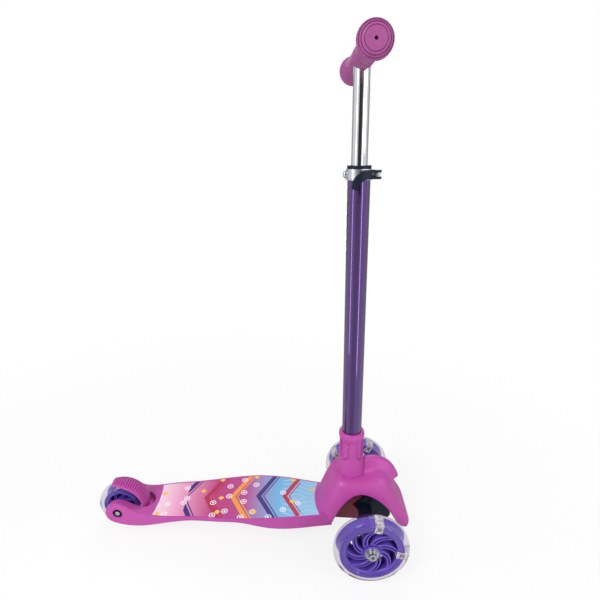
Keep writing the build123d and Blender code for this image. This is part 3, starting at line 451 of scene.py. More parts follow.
def add_piece(name, grids, body, finish, replaced=(), crease=38):
    """Make one object of several grids, each (points, wrap_rows, wrap_cols), and hand it to its body.

    Edges that turn by more than the crease, in degrees, stay sharp.
    """
    points, faces, count = [], [], 0
    for grid, wrap_rows, wrap_cols in grids:
        faces.append(joined(grid.shape[0], grid.shape[1], wrap_rows, wrap_cols) + count)
        points.append(grid.reshape(-1, 3))
        count += len(points[-1])
    mesh = bpy.data.meshes.new(name)
    mesh.from_pydata(np.concatenate(points).tolist(), [], np.concatenate(faces).tolist())
    work = bmesh.new()
    work.from_mesh(mesh)
    bmesh.ops.remove_doubles(work, verts=work.verts, dist=MERGE_WITHIN)
    bmesh.ops.dissolve_degenerate(work, edges=work.edges, dist=NO_LENGTH)
    bmesh.ops.recalc_face_normals(work, faces=work.faces)
    work.to_mesh(mesh)
    work.free()
    mesh.shade_smooth()
    mesh.set_sharp_from_angle(angle=np.radians(crease))
    mesh.materials.append(finish)
    made = bpy.data.objects.new(name, mesh)
    bpy.context.collection.objects.link(made)
    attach(made, body)
    if replaced:
        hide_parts(*replaced)
    print(name, "has", len(mesh.polygons), "faces")


print("faces of a closed grid of 4 by 3 points:", len(joined(4, 3, True, True)))


# %% Round shapes
def turned(profile, at, axis, across, count):
    """Carry a closed profile of (radius, place along the axis) round an axis: only the radius turns."""
    around = np.linspace(0, 2 * np.pi, count, endpoint=False)[:, None]
    outward = np.cos(around) * across + np.sin(around) * np.cross(axis, across)
    points = at + profile[None, :, 1, None] * axis + profile[None, :, 0, None] * outward[:, None, :]
    return points, True, True


def round_tube(at, radius, height, around):
    """Place points round the leaning tube by radius and height, in mm, and by the angle from its front."""
    outward = np.cos(around)[:, None] * TUBE_FORE + np.sin(around)[:, None] * LEFT
    return at + (height[..., None] * TUBE_UP + radius[..., None] * outward) * MM


def on_wheel(centre, facing, radius, angle, out):
    """Place points by radius, angle and distance out of the wheel's face, which looks along facing * Y."""
    x = centre[0] - facing * radius * np.cos(angle)
    y = centre[1] + facing * out
    z = centre[2] + radius * np.sin(angle)
    return np.stack(np.broadcast_arrays(x, y, z), axis=-1)


def ring_grid(centre, facing, profile, count):
    """Carry a closed profile of (radius, out) in mm round the wheel's axle."""
    profile = np.asarray(profile, float) * MM
    angle = np.linspace(0, 2 * np.pi, count, endpoint=False)[:, None]
    return on_wheel(centre, facing, profile[None, :, 0], angle, profile[None, :, 1]), True, True


print("top of a 60 mm wheel:", on_wheel(np.zeros(3), 1, 60 * MM, np.pi / 2, 0).round(4))

# %% [markdown]
# ## Hubs
# Each hub is a nylon moulding: a flat ring and a boss, eight swept spokes with a groove in both faces, and
# a thin web with an oval hole between each two spokes. It could be cut with booleans, but those leave
# ragged shading, so each spoke and each web panel is a closed grid of its own that ends inside the ring and
# the boss. Sizes are in millimetres from the axle and from the hub's middle plane.

# %% Spokes
SPOKES = 8
SWEEP_POWER = 1.25
SPOKE_ROUND, SPOKE_GROOVE = 1.3, 3.6


def spoke_grids(centre, facing, spin, inner, outer, sweep, height, widths):
    """Give the spokes: one parameter runs outwards and the other round the section.

    The middle's angle falls back with a power of the way out, and the half width grows with another. The
    faces drop steeply at their edges, and a groove is sunk between the ends, which are squeezed to points.
    """
    along = np.linspace(0, 1, 42)[:, None]
    radius = (inner + (outer - inner) * along) * MM
    half = (widths[0] + (widths[1] - widths[0]) * along ** 1.5) * MM
    edge = 0.5 + 0.5 * np.cos(np.linspace(np.pi / 2, 0, 8))[1:]
    across = np.r_[-edge[::-1], -0.4, np.linspace(-0.34, 0.34, 15), 0.4, edge]
    groove = 1 - step_up(np.abs(across), 0.14, 0.3)
    grooved = step_up(along, 0.1, 0.2) * (1 - step_up(along, 0.84, 0.94))
    face = height - SPOKE_ROUND * np.abs(across) ** 10 - SPOKE_GROOVE * groove * grooved
    loop_across = np.r_[across, across[::-1]]
    loop_out = np.concatenate([face, -face[:, ::-1]], axis=1) * MM
    squeeze = np.ones_like(along)
    squeeze[[0, -1]] = 0
    grids = []
    for which in range(SPOKES):
        middle = spin + 2 * np.pi * which / SPOKES - sweep * along ** SWEEP_POWER
        angle = middle + squeeze * loop_across * half / radius
        grids.append((on_wheel(centre, facing, radius, angle, squeeze * loop_out), False, True))
    return grids


print("spokes in a hub:", SPOKES)

# %% Webs
WEB_HALF, WEB_BACK = 1.2, 7.5


def web_grids(centre, facing, spin, inner, outer, sweep, hole):
    """Give the web's panels: one parameter runs from the hole to the edge and back, one round the panel.

    A panel is a square from -1 to 1 with an oval hole, (half sizes, middle). Its first direction is
    stretched from the inner to the outer radius, and its second is bent to the angle between two spokes.
    """
    around = np.linspace(0, 2 * np.pi, 72, endpoint=False)
    circle = np.stack([np.cos(around), np.sin(around)], axis=-1)
    square = circle / np.abs(circle).max(axis=1, keepdims=True)
    oval = circle * hole[:2] + hole[2:]
    to_edge = np.array([0, 0, 0.15, 0.5, 1, 1, 0.5, 0.15, 0])
    out = (WEB_HALF * np.array([0.5, 1, 1, 1, 1, -1, -1, -1, -1]) - WEB_BACK) * MM
    panel = oval + (square - oval) * to_edge[:, None, None]
    radius = (inner + outer) / 2 + panel[..., 0] * (outer - inner) / 2
    along = np.clip((radius - inner) / (outer - inner), 0, 1)
    grids = []
    for which in range(SPOKES):
        middle = spin + 2 * np.pi * (which + 0.5 + panel[..., 1] / 2) / SPOKES
        angle = middle - sweep * along ** SWEEP_POWER
        grids.append((on_wheel(centre, facing, radius * MM, angle, out[:, None]), True, True))
    return grids


print("web thickness:", 2 * WEB_HALF, "mm")

# %% Whole hubs
BOSS_R = 13.9
SPOKE_SINK, WEB_SINK = (1.1, 0.9), (0.7, 0.5)
hub_boss = [(11.05, -11.8), (11.05, 11.8), (12.6, 11.8), (13.5, 10.9), (BOSS_R, 6), (BOSS_R, -6),
            (13.5, -10.9), (12.6, -11.8)]
front_hub = {
    "ring": [(50.5, -9.5), (50.5, 9.5), (42, 9.5), (41, 9.2), (39.6, 7.6), (39.3, 6.5), (39.3, -6.5),
             (39.6, -7.6), (41, -9.2), (42, -9.5)],
    "ring_count": 160, "sweep": 0.78, "height": 8.6, "widths": (5.0, 5.8), "hole": (0.34, 0.4, 0.15, -0.1)}
rear_hub = {
    "ring": [(30.5, -9), (30.5, 9), (24, 9), (22.8, 7.6), (22.5, 6), (22.5, -6), (22.8, -7.6), (24, -9)],
    "ring_count": 128, "sweep": 0.4, "height": 7.8, "widths": (2.6, 3.2), "hole": (0.3, 0.35, 0, 0)}


def hub_grids(centre, facing, spin, ring, ring_count, sweep, height, widths, hole):
    """Give a hub: its ring, its boss, and the spokes and webs, whose ends sink a little into both."""
    ring_r = np.min(ring, axis=0)[0]
    spoke_ends, web_ends = ((BOSS_R - sink[0], ring_r + sink[1]) for sink in (SPOKE_SINK, WEB_SINK))
    rings = [ring_grid(centre, facing, ring, ring_count), ring_grid(centre, facing, hub_boss, 96)]
    spokes = spoke_grids(centre, facing, spin, *spoke_ends, sweep, height, widths)
    return rings + spokes + web_grids(centre, facing, spin, *web_ends, sweep, hole)


print("hub rings:", front_hub["ring"][0][0], "and", rear_hub["ring"][0][0], "mm in radius")

# %% [markdown]
# ## Tyres and lights
# A clear tyre is cast over the hub's ring. Its section is a smooth line from the edge to the tread, the
# same line mirrored, and the seat that grips the ring. A torus would be quicker, but the real section laps
# over the ring's faces. Two light modules are set into each front wheel: a milky case with soft edges that
# shows three small boards.


# %% Tyre and light surfaces
def tyre_profile(flank, count, seat):
    """Close a tyre's section: the smooth line of one flank, its mirror image, and the seat on the ring."""
    skin = smooth_profile(flank, count)
    return np.concatenate([skin, (skin * [1, -1])[-2::-1], seat])


def block_grid(centre, facing, angle, radii, width, half, soft):
    """Give a block with soft edges, set on a wheel: a rounded rectangle that shrinks away over each face.

    The rectangle is a circle whose sines and cosines are taken to the power of a quarter.
    """
    around = np.linspace(0, 2 * np.pi, 48, endpoint=False)
    circle = np.stack([np.cos(around), np.sin(around)], axis=-1)
    corner = np.sign(circle) * np.abs(circle) ** 0.25
    inset = 1 - soft / width
    shrink = np.array([1e-6, 0.6, inset, 1, 1, inset, 0.6, 1e-6])[:, None]
    out = np.array([-half, -half, -half, -half + soft / 2, half - soft / 2, half, half, half])[:, None]
    middle, reach = (radii[0] + radii[1]) / 2, (radii[1] - radii[0]) / 2
    radial = (middle + corner[:, 0] * shrink * reach) * MM
    sideways = corner[:, 1] * shrink * width / 2 * MM
    turn = angle + np.arctan2(sideways, radial)
    return on_wheel(centre, facing, np.hypot(radial, sideways), turn, out * MM), False, True


front_tyre = tyre_profile(
    [(43, 10.1), (45.5, 11.7), (50, 12.5), (54.6, 11.6), (58.0, 8.6), (59.6, 4.4), (60, 0)], 22,
    [(43, -9), (46, -8.4), (46, 8.4), (43, 9)])
rear_tyre = tyre_profile(
    [(26.5, 9.6), (28.5, 11.2), (31.5, 12), (35, 11.2), (38.2, 8.3), (39.7, 4.2), (39.98, 0)], 20,
    [(26.5, -8.6), (29, -8), (29, 8), (26.5, 8.6)])
print("tyre profiles:", len(front_tyre), "and", len(rear_tyre), "points")

# %% Front wheels
# The two wheels are the same part, turned about the vertical by its facing. They stand as they happened to
# stop, so each has its own angles, in degrees: where its two light modules are and how far its hub has
# spun.
CASE_RADII, CASE_WIDE, CASE_HALF, CASE_SOFT = (38.6, 56.4), 13, 9.9, 1.2
CHIP_HALF, CHIP_SOFT = 10.05, 0.4
chip_plan = [(0.0, (43.5, 50.5), 6.5), (0.09, (40.3, 42.2), 2.2), (-0.09, (40.3, 42.2), 2.2)]
for side, facing, case_degrees, spin_degrees in (("right", -1, (82, -4), 0), ("left", 1, (31, 114), 24)):
    centre = joint_at[f"front_{side}_spin"]
    body = f"front_wheel_{side}"
    case_angles = np.radians(case_degrees)
    hub = hub_grids(centre, facing, np.radians(spin_degrees), **front_hub)
    tyre = ring_grid(centre, facing, front_tyre, 192)
    cases = [block_grid(centre, facing, angle, CASE_RADII, CASE_WIDE, CASE_HALF, CASE_SOFT)
             for angle in case_angles]
    chips = [block_grid(centre, facing, angle + shift, radii, width, CHIP_HALF, CHIP_SOFT)
             for angle in case_angles for shift, radii, width in chip_plan]
    add_piece(f"hub_{side}", hub, body, hub_plastic, [f"front_hub_{side}"])
    add_piece(f"tyre_{side}", [tyre], body, clear_urethane, [f"front_tyre_{side}"])
    add_piece(f"lights_{side}", cases, body, lamp_case, [f"front_lights_{side}"])
    add_piece(f"light_chips_{side}", chips, body, chip_grey)

# %% Rear wheel
hub = hub_grids(REAR_AXLE, -1, 0.0, **rear_hub)
tyre = ring_grid(REAR_AXLE, -1, rear_tyre, 160)
add_piece("hub_rear", hub, "rear_wheel", hub_plastic, ["rear_hub"])
add_piece("tyre_rear", [tyre], "rear_wheel", clear_urethane, ["rear_tyre"])

# %% [markdown]
# ## Rear bolt
# The rear axle's bolt has a bright end that shows in its dark head, deep in the arm's recess. It could be a
# second colour on the head, but a low turned button catches the light as the real one does.

# %% Bolt end
# The profile starts 0.001 mm from the axis, and merging closes that pinhole.
bolt_line = np.array([(0.001, 0), (0.001, 0.5), (2.6, 0.5), (3.6, 0.2), (3.8, 0)]) * MM
bolt_at = np.array([REAR_AXLE[0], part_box("rear_axle")[0][1], REAR_AXLE[2]])
add_piece("bolt_end", [turned(bolt_line, bolt_at, -LEFT, FORWARD, 48)], "deck", bright_steel)

# %% [markdown]
# ## Foot brake
# The brake is a leaf bent over the rear wheel and crowned across, so that a heel slides on to it from any
# side. Narrow grooves leave ridges for grip, and its front end is a boss round the pin. A bent plane could
# give the leaf, but here its shape follows the wheel: one parameter is the angle about the axle, the other
# the share of the width.

# %% Pedal plan and crown
PEDAL_CROWN = 24.25
PEDAL_HALF, PEDAL_NOSE_X = 15.5, -191.75
pedal_x = [-249.5, -247.5, -244.5, -234, -222.5, PEDAL_NOSE_X]
pedal_y = [6, 8.6, 9.5, 12.4, 14.5, PEDAL_HALF]


def pedal_half(x):
    """Give the leaf's half width at a place along the scooter: round nose, slow taper and blunt tail."""
    ahead = np.clip(x - PEDAL_NOSE_X, 0, None)
    nose = np.sqrt(np.clip(PEDAL_HALF ** 2 - ahead ** 2, 0, None))
    return np.where(x > PEDAL_NOSE_X, nose, np.interp(x, pedal_x, pedal_y))


def crown(y):
    """Give how far the crowned leaf drops at a distance from its middle: the depth of a circular arc."""
    return PEDAL_CROWN - np.sqrt(PEDAL_CROWN ** 2 - y ** 2)


print("the leaf drops", crown(PEDAL_HALF).round(2), "mm at its widest")

# %% Pedal leaf
# The width depends on the place along the scooter, and through the crown the place depends on the width, so
# the two settle in a few rounds. The radius is that of the leaf's top or underside, less the crown and the
# grooves, whose section is a raised cosine to the third power. The two ends are drawn together.
LEAF_TOP, LEAF_UNDER, LEAF_MIDDLE, FIRST_HALF = 47, 43.6, 45, 13
GROOVE_EVERY, GROOVE_DEPTH, GROOVE_START, GROOVE_END = 5.4, 1.5, (14, 18), (101, 104)
axle_x, axle_z = REAR_AXLE[0] / MM, REAR_AXLE[2] / MM
degrees = np.linspace(-8, 108, 300)[:, None]
about = np.radians(degrees)
width_share = np.sin(np.linspace(-np.pi / 2, np.pi / 2, 41))[None, :]
leaf_y = width_share * FIRST_HALF + 0 * about
for settle in range(4):
    leaf_y = width_share * pedal_half(axle_x + (LEAF_MIDDLE - crown(leaf_y)) * np.cos(about))
leaf_edge = np.abs(width_share)
grooves = (0.5 + 0.5 * np.cos(2 * np.pi * degrees / GROOVE_EVERY)) ** 3
grooves = grooves * step_up(degrees, *GROOVE_START) * (1 - step_up(degrees, *GROOVE_END))
grooves = grooves * (1 - leaf_edge ** 20)
leaf_top = LEAF_TOP - crown(leaf_y) - GROOVE_DEPTH * grooves - 1.2 * leaf_edge ** 16
leaf_under = LEAF_UNDER - crown(leaf_y) + 0.4 * leaf_edge ** 16
leaf_r = np.concatenate([leaf_top, leaf_under[:, ::-1]], axis=1)
leaf_r[[0, -1]] = (leaf_r + leaf_r[:, ::-1])[[0, -1]] / 2
leaf_loop_y = np.concatenate([leaf_y, leaf_y[:, ::-1]], axis=1)
leaf_x, leaf_z = axle_x + leaf_r * np.cos(about), axle_z + leaf_r * np.sin(about)
leaf = np.stack([leaf_x, leaf_loop_y, leaf_z], axis=-1) * MM
boss_line = np.array([(3.15, -12.4), (5.4, -12.4), (6, -11.8), (6, 11.8), (5.4, 12.4), (3.15, 12.4)]) * MM
pedal = [(leaf, False, True), turned(boss_line, joint_at["brake_press"], LEFT, FORWARD, 72)]
add_piece("pedal_leaf", pedal, "brake", pink_plastic, ["brake_pedal"], crease=50)

# %% [markdown]
# ## Grips and saddle
# The grips are soft rubber: a long waist, a flared flange and a flat end with two shallow rings. All of
# that is round, so one profile is carried about the bar, as on a lathe. The saddle is a sleeve in the
# middle whose skirt is short in front and behind and comes down to a point on each side of the stem.

# %% Grips
GRIP_R, FLANGE_R, BORE_R, BAR_END, SADDLE_END = 14.5, 20.6, 11.1, 113.0, 25.7
grip_line = [(GRIP_R - 0.1, SADDLE_END + 0.3), (GRIP_R, SADDLE_END + 2), (GRIP_R - 0.1, SADDLE_END + 5),
             (GRIP_R - 0.9, SADDLE_END + 8), (GRIP_R - 1.1, SADDLE_END + 24), (GRIP_R - 0.7, BAR_END - 40),
             (GRIP_R + 0.3, BAR_END - 27), (GRIP_R + 2.6, BAR_END - 18.5), (FLANGE_R - 1.6, BAR_END - 13.6),
             (FLANGE_R - 0.2, BAR_END - 11), (FLANGE_R, BAR_END - 9), (FLANGE_R - 0.6, BAR_END - 6.4),
             (FLANGE_R - 1.7, BAR_END - 4.6)]
end_depths = [(18.7, 5.1), (18.2, 5.1), (18.0, 3.8), (16.4, 2.8), (16.2, 3.6), (15.6, 3.6), (15.3, 2.3),
              (12.9, 1.1), (12.7, 1.8), (12.2, 1.8), (12.0, 0.8), (11.4, 0.6), (9, 0.3), (5, 0.05),
              (2.2, 0.0), (1.9, 0.4), (1.9, 5.5), (BORE_R, 5.9)]
grip_end = np.array(end_depths) * [1, -1] + [0, BAR_END]
grip_loop = np.concatenate([smooth_profile(grip_line, 90), grip_end, [(BORE_R, SADDLE_END + 0.3)]]) * MM
for side, way in (("left", 1), ("right", -1)):
    grip = turned(grip_loop, BAR_AT, way * LEFT, FORWARD, 144)
    add_piece(f"grip_body_{side}", [grip], "t_bar", grip_rubber, [f"grip_{side}"], crease=50)

# %% Saddle
# The skirt is a wall round the stem, and its foot rises from the sides with a power of the angle's cosine.
SKIRT_R, SKIRT_BORE, SKIRT_TOP = 15.1, 11.25, -2.0
SKIRT_LOW, SKIRT_RISE, SKIRT_ROUND = 17.2, 11.6, 0.5
sleeve_half = np.array([(BORE_R, 25.6), (14.1, 25.6), (14.5, 25.0), (14.7, 22)])
sleeve_line = np.concatenate([sleeve_half * [1, -1], sleeve_half[::-1]]) * MM
sleeve = turned(sleeve_line, BAR_AT, LEFT, FORWARD, 128)
skirt_around = np.linspace(0, 2 * np.pi, 128, endpoint=False)
skirt_foot = SKIRT_RISE * np.abs(np.cos(skirt_around))[None, :] ** 1.15 - SKIRT_LOW
skirt_top = np.full_like(skirt_foot, SKIRT_TOP)
skirt_bore = np.full_like(skirt_foot, SKIRT_BORE)
drop = np.linspace(0, 1, 14)[:, None]
skirt_wall = SKIRT_R * (1 - 0.02 * drop) + 0 * skirt_foot
skirt_r = np.concatenate([skirt_wall, skirt_wall[-1:] - SKIRT_ROUND, skirt_bore, skirt_bore])
skirt_s = np.concatenate([skirt_top + (skirt_foot - skirt_top) * drop, skirt_foot - SKIRT_ROUND,
                          skirt_foot - SKIRT_ROUND, skirt_top])
skirt = round_tube(BAR_AT, skirt_r, skirt_s, skirt_around)
add_piece("saddle", [sleeve, (skirt, True, True)], "t_bar", grip_rubber, ["bar_saddle"])

# %% [markdown]
# ## Collar
# The collar round the tube's foot is a turned sleeve with a rolled lip. Four panels with round lower ends
# are sunk into it, and one of them has short finger grooves. Cutting them with booleans would leave hard
# rims, so on this grid the radius simply dips where a panel is, over a short smooth step.

# %% Collar surface
# A panel is what lies far enough from the nearest rib and above a half circle. The finger grooves are a sine
# of the height.
COLLAR_R, COLLAR_TOP, COLLAR_BORE = 20.5, 76, 16.05
RIB_HALF, PANEL_LOW, PANEL_HIGH, PANEL_DEPTH = 5.6, 26, 62.5, 2.7
FINGER_EVERY, FINGER_DEPTH, FINGER_LOW, FINGER_HIGH = 5.6, 0.6, 36, 57
FINGER_SIDE = np.radians(225)
collar_line = smooth_profile(
    [(25.3, 0), (24.6, 3), (23.6, 9), (22.0, 18), (20.8, 28), (20.2, 45), (19.8, 60), (20.2, 64),
     (21.2, 67.5), (21.3, 70), (20.6, 73.5), (19.2, 75.8), (18.4, COLLAR_TOP)], 190)
radius, level = collar_line[:, :1], collar_line[:, 1:]
collar_around = np.linspace(0, 2 * np.pi, 420, endpoint=False)
from_rib = np.abs((collar_around + np.pi / 4) % (np.pi / 2) - np.pi / 4) * COLLAR_R
panel_half = np.pi / 4 * COLLAR_R - RIB_HALF
from_middle = panel_half + RIB_HALF - from_rib
panel_floor = PANEL_LOW + panel_half - np.sqrt(np.clip(panel_half ** 2 - from_middle ** 2, 0, None))
sunk = step_up(panel_half - from_middle, 0, 0.55) * step_up(level - panel_floor, 0, 0.8)
sunk = sunk * step_up(PANEL_HIGH - level, 0, 0.8)
fingers = np.sin((level - FINGER_LOW) * 2 * np.pi / FINGER_EVERY) * step_up(level - FINGER_LOW, 2, 5)
fingers = fingers * step_up(FINGER_HIGH - level, 0, 2) * (np.abs(collar_around - FINGER_SIDE) < np.pi / 4)
bore = np.full((1, len(collar_around)), COLLAR_BORE)
collar_r = np.concatenate([radius - sunk * (PANEL_DEPTH + FINGER_DEPTH * fingers), bore, bore])
collar_s = np.concatenate([level + 0 * sunk, 0 * bore + COLLAR_TOP, 0 * bore])
sleeve = round_tube(TUBE_FOOT, collar_r, collar_s, collar_around)
add_piece("collar_sleeve", [(sleeve, True, True)], "deck", pink_plastic, ["collar"], crease=50)

# %% [markdown]
# ## Front cover
# The cover is an arched shell over the truck, with a fin on top and a wide nose. Its spine runs from the
# foot on the deck over the top and down to the nose. At each station of the spine two points of the side
# view are given, one on the outer skin and one on the arch's edge, and a rounded section is stretched
# between them. It could be sculpted, but then the wall and the arch would be uneven. Lines are in
# millimetres from the ground under the front axle.

# %% Cover lines
edge_line = [(-57, 50), (-52, 67), (-46, 83), (-38, 97), (-29, 106.5), (-20, 112), (-8, 113), (5, 109),
             (19, 100.5), (33, 87.5), (43, 74), (51, 61.5), (58.5, 52), (67, 46.6)]
skin_line = [(-87, 61), (-78, 73), (-70, 95), (-61, 116), (-50, 129.7), (-27, 131.2), (0, 133), (17, 138),
             (32, 130), (45, 109), (57.5, 87), (69.5, 68), (75.6, 55), (73, 46.3)]
edge_half = [41, 42.5, 44, 45, 45, 45, 45, 45, 45, 45, 45, 45, 44, 42]
station = np.arange(len(edge_line))
spine = np.r_[np.linspace(0, 5.4, 70), np.linspace(5.45, 9.8, 130), np.linspace(9.85, 13, 60)]
edge_at = through(station, edge_line, spine)
skin_at = through(station, skin_line, spine)
half_at = through(station, edge_half, spine)
print("cover stations:", len(spine))

# %% Fin
# The fin has its own line over a part of the spine. Its push is the way from the skin to that line.
FIN_RISE, FIN_FALL = (5.55, 5.9), (9.3, 9.6)
fin_station = [5.6, 6.2, 7.0, 7.6, 8.0, 8.3, 8.5, 8.7, 8.95, 9.25, 9.6]
fin_line = [(-12, 150), (0, 154.6), (18, 154.8), (36, 147), (48, 134.5), (54.8, 122.5), (55.0, 119.6),
            (51.5, 118.6), (46, 115.5), (44.6, 110), (49.4, 101.5)]
on_fin = (spine >= fin_station[0]) & (spine <= fin_station[-1])
fin_push = np.zeros_like(skin_at)
fin_push[on_fin] = through(fin_station, fin_line, spine[on_fin]) - skin_at[on_fin]
fin_push *= (step_up(spine, *FIN_RISE) * (1 - step_up(spine, *FIN_FALL)))[:, None]
print("fin stands out by", np.linalg.norm(fin_push, axis=1).max().round(1), "mm")

# %% Cover skins
COVER_WALL, FIN_HALF = 3.4, 10.5
arched = smooth_profile(
    [(0, 1), (0.25, 0.995), (0.5, 0.965), (0.7, 0.86), (0.85, 0.64), (0.95, 0.34), (1, 0)], 60)
blunt = smooth_profile(
    [(0, 1), (0.3, 1), (0.6, 0.99), (0.8, 0.95), (0.92, 0.82), (0.98, 0.5), (1, 0)], 60)
to_nose = step_up(spine, 8.6, 11.6)[:, None]


def cover_skin(wall):
    """Give one skin of the cover, drawn in by a wall: along the spine one way, over the section the other.

    The section turns from arched to blunt towards the nose. The fin's push is full in the middle and falls
    off with the fourth power of the distance from it.
    """
    reach = skin_at - edge_at
    thick = np.linalg.norm(reach, axis=1, keepdims=True)
    reach = reach * np.clip(1 - wall / np.maximum(thick, 1e-6), 0.05, 1)
    side, rise = (arched[:, k] * (1 - to_nose) + blunt[:, k] * to_nose for k in (0, 1))
    y = (half_at - wall)[:, None] * np.concatenate([-side[:, ::-1], side[:, 1:]], axis=1)
    rise = np.concatenate([rise[:, ::-1], rise[:, 1:]], axis=1)
    fin_share = 1 / (1 + (y / (FIN_HALF - 0.6 * wall)) ** 4) * (1 - wall / 14)
    flat = edge_at[:, None, :] + reach[:, None, :] * rise[..., None]
    flat = flat + fin_push[:, None, :] * fin_share[..., None]
    return np.stack([flat[..., 0], y, flat[..., 1]], axis=-1)


outer, inner = cover_skin(0.0), cover_skin(COVER_WALL)
print("skins of", outer.shape[0], "by", outer.shape[1], "points")

# %% Cover shell
# A rounded lip joins the two skins along the arch on each side, and a flat cap closes each end of the
# spine.
LIP = 1.5
down = (edge_at - skin_at) / np.linalg.norm(edge_at - skin_at, axis=1, keepdims=True)
bulge = np.stack([down[:, 0], 0 * down[:, 0], down[:, 1]], axis=-1) * LIP


def rolled_lip(near, far):
    """Join two edges with three rows: the middle one stands out by the bulge, the two beside it by less."""
    middle = (near + far) / 2
    beside = [edge * 0.85 + middle * 0.15 + bulge * 0.6 for edge in (near, far)]
    return np.stack([beside[0], middle + bulge, beside[1]], axis=1)


right_lip, left_lip = rolled_lip(inner[:, 0], outer[:, 0]), rolled_lip(outer[:, -1], inner[:, -1])
shell = np.concatenate([outer, left_lip, inner[:, ::-1], right_lip], axis=1) * MM
shell = shell + joint_at["truck_steer"] * [1, 0, 0]
caps = [np.stack([loop, 0 * loop + loop.mean(axis=0)]) for loop in (shell[0], shell[-1])]
cover = [(grid, False, True) for grid in (shell, *caps)]
add_piece("cover_shell", cover, "deck", pink_plastic, ["front_cover"], crease=60)

# %% [markdown]
# ## Room and floor
# The scooter stands on a pale floor in a white room. Flooding a room with light would bleach the object, so
# the surround is white only to rays that look at it, pass through the tyres or mirror in a surface, and a
# soft share of it lights the object. In mirrors the room is darker behind the camera and greyer at the
# back, which gives the chrome its streaks.

# %% Room
TO_CAMERA_SIDE = (-0.15, -0.989, 0)


def room_brightness(tree, direction, dark):
    """Give the room's brightness in a direction: dark on the camera's side, white beside it, grey behind.

    The direction is laid flat, and its cosine with the camera's side, moved to 0 to 1, picks a grey.
    """
    level = add_node(tree, "VectorMath", (direction, (1, 1, 0)), operation="MULTIPLY")
    unit = add_node(tree, "VectorMath", (level,), operation="NORMALIZE")
    cosine = add_node(tree, "VectorMath", (unit, TO_CAMERA_SIDE), operation="DOT_PRODUCT")
    place = add_node(tree, "Math", (cosine, 0.5, 0.5), operation="MULTIPLY_ADD")
    return add_node(tree, "ValToRGB", (place,), stops=[
        (0.0, "#8C8C8C"), (0.22, "#B4B4B4"), (0.4, "#F0F0F0"), (0.925, "#F0F0F0"), (0.975, dark)])


SKY_SHARE = 0.42
world = bpy.data.worlds.new("studio")
bpy.context.scene.world = world
world.use_nodes = True
tree = world.node_tree
tree.nodes.clear()
rays = add_node(tree, "LightPath").outputs
room = room_brightness(tree, add_node(tree, "TexCoord").outputs["Generated"], "#3A3A40")
seen = add_node(tree, "Math", (rays["Is Camera Ray"], rays["Is Transmission Ray"]), operation="MAXIMUM")
mirrored = add_node(tree, "Math", (rays["Is Glossy Ray"], room), operation="MULTIPLY")
lighting = add_node(tree, "Math", (rays["Is Diffuse Ray"], SKY_SHARE), operation="MULTIPLY")
shown = add_node(tree, "Math", (seen, mirrored), operation="MAXIMUM")
strength = add_node(tree, "Math", (shown, lighting), operation="MAXIMUM")
sky = add_node(tree, "Background", {"Color": (1, 1, 1, 1), "Strength": strength})
add_node(tree, "OutputWorld", {"Surface": sky})
print("room made of", len(tree.nodes), "nodes")

# %% Floor
# The floor takes the object's shadow near the scooter and fades into the white room from 0.35 to 1 m away.
FLOOR_HALF, MIRROR_SHARE = 6.0, 0.9
FROM_TUBE = (-0.15, 0, 0)
floor_corners = [(-FLOOR_HALF, -FLOOR_HALF, 0), (FLOOR_HALF, -FLOOR_HALF, 0), (FLOOR_HALF, FLOOR_HALF, 0),
                 (-FLOOR_HALF, FLOOR_HALF, 0)]
floor_mesh = bpy.data.meshes.new("floor")
floor_mesh.from_pydata(floor_corners, [], [(0, 1, 2, 3)])
floor = bpy.data.objects.new("floor", floor_mesh)
bpy.context.collection.objects.link(floor)
floor_finish, tree, shader = new_material("pale_floor", {"Base Color": linear("#F4F4F4"), "Roughness": 0.9})
place = object_place(tree)
away = add_node(tree, "VectorMath", (place,), operation="LENGTH")
fade = {"Value": away, "From Min": 0.35, "From Max": 1.0, "To Min": 0.82, "To Max": 1.0}
white = add_node(tree, "MapRange", fade)
rays = add_node(tree, "LightPath").outputs
# Painted reflection: to mirrored rays the floor glows with the room's greys, darker on the camera's side.
room = room_brightness(tree, add_node(tree, "VectorMath", (place, FROM_TUBE), operation="ADD"), "#C4C4C8")
seen = add_node(tree, "Math", (rays["Is Camera Ray"], rays["Is Transmission Ray"]), operation="MAXIMUM")
mirrored = add_node(tree, "Math", (rays["Is Glossy Ray"], room), operation="MULTIPLY")
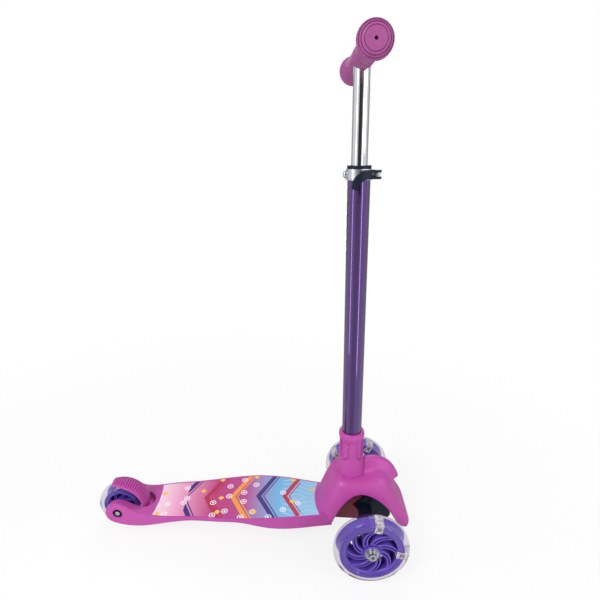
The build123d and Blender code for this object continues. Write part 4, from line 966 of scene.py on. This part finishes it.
strength = add_node(tree, "Math", (seen, mirrored), operation="MAXIMUM")
glow = add_node(tree, "Emission", {"Color": (1, 1, 1, 1), "Strength": strength})
seen_share = add_node(tree, "Math", (white, seen), operation="MULTIPLY")
mirror_share = add_node(tree, "Math", (rays["Is Glossy Ray"], MIRROR_SHARE), operation="MULTIPLY")
glow_share = add_node(tree, "Math", (seen_share, mirror_share), operation="MAXIMUM")
blended = add_node(tree, "MixShader", (glow_share, shader, glow))
tree.links.new(blended.outputs["Shader"], tree.nodes["Material Output"].inputs["Surface"])
floor_mesh.materials.append(floor_finish)
print("floor made of", len(tree.nodes), "nodes")

# %% [markdown]
# ## Lamps
# One large soft lamp hangs high on the camera's left, a weaker one fills from the right, and one lights the
# back. A sun lamp would be simpler, but its shadows are hard. Two tall thin strips stand beside the tube
# only to draw the bright lines that run down it.


# %% Add the lamps
def add_lamp(name, place, target, size, power):
    """Hang an area lamp of (width, height) at place so that it faces target."""
    lamp = bpy.data.objects.new(name, bpy.data.lights.new(name, "AREA"))
    bpy.context.collection.objects.link(lamp)
    lamp.data.shape = "RECTANGLE"
    lamp.data.size, lamp.data.size_y = size
    lamp.data.energy = power
    back = np.array(place) - np.array(target)
    back = back / np.linalg.norm(back)
    right = np.cross([0, 0, 1], back)
    right = right / np.linalg.norm(right)
    stand(lamp, right, np.cross(back, right), back, place)
    print(name, "gives", power, "W")


TUBE_MIDDLE, STRIP = (0.15, 0, 0.66), (0.045, 1.26)
add_lamp("key_lamp", (-1.2, -1.6, 1.9), (0, 0, 0.3), (0.9, 0.9), 31)
add_lamp("fill_lamp", (1.7, -1.0, 1.2), (0.1, 0, 0.3), (1.0, 1.0), 9)
add_lamp("back_lamp", (0.2, 1.8, 1.6), (0, 0, 0.3), (1.4, 1.4), 14)
add_lamp("left_strip", (-0.38, -0.28, 0.66), TUBE_MIDDLE, STRIP, 1.0)
add_lamp("right_strip", (0.46, -0.514, 0.66), TUBE_MIDDLE, STRIP, 1.0)
bpy.context.scene.view_settings.view_transform = "Standard"
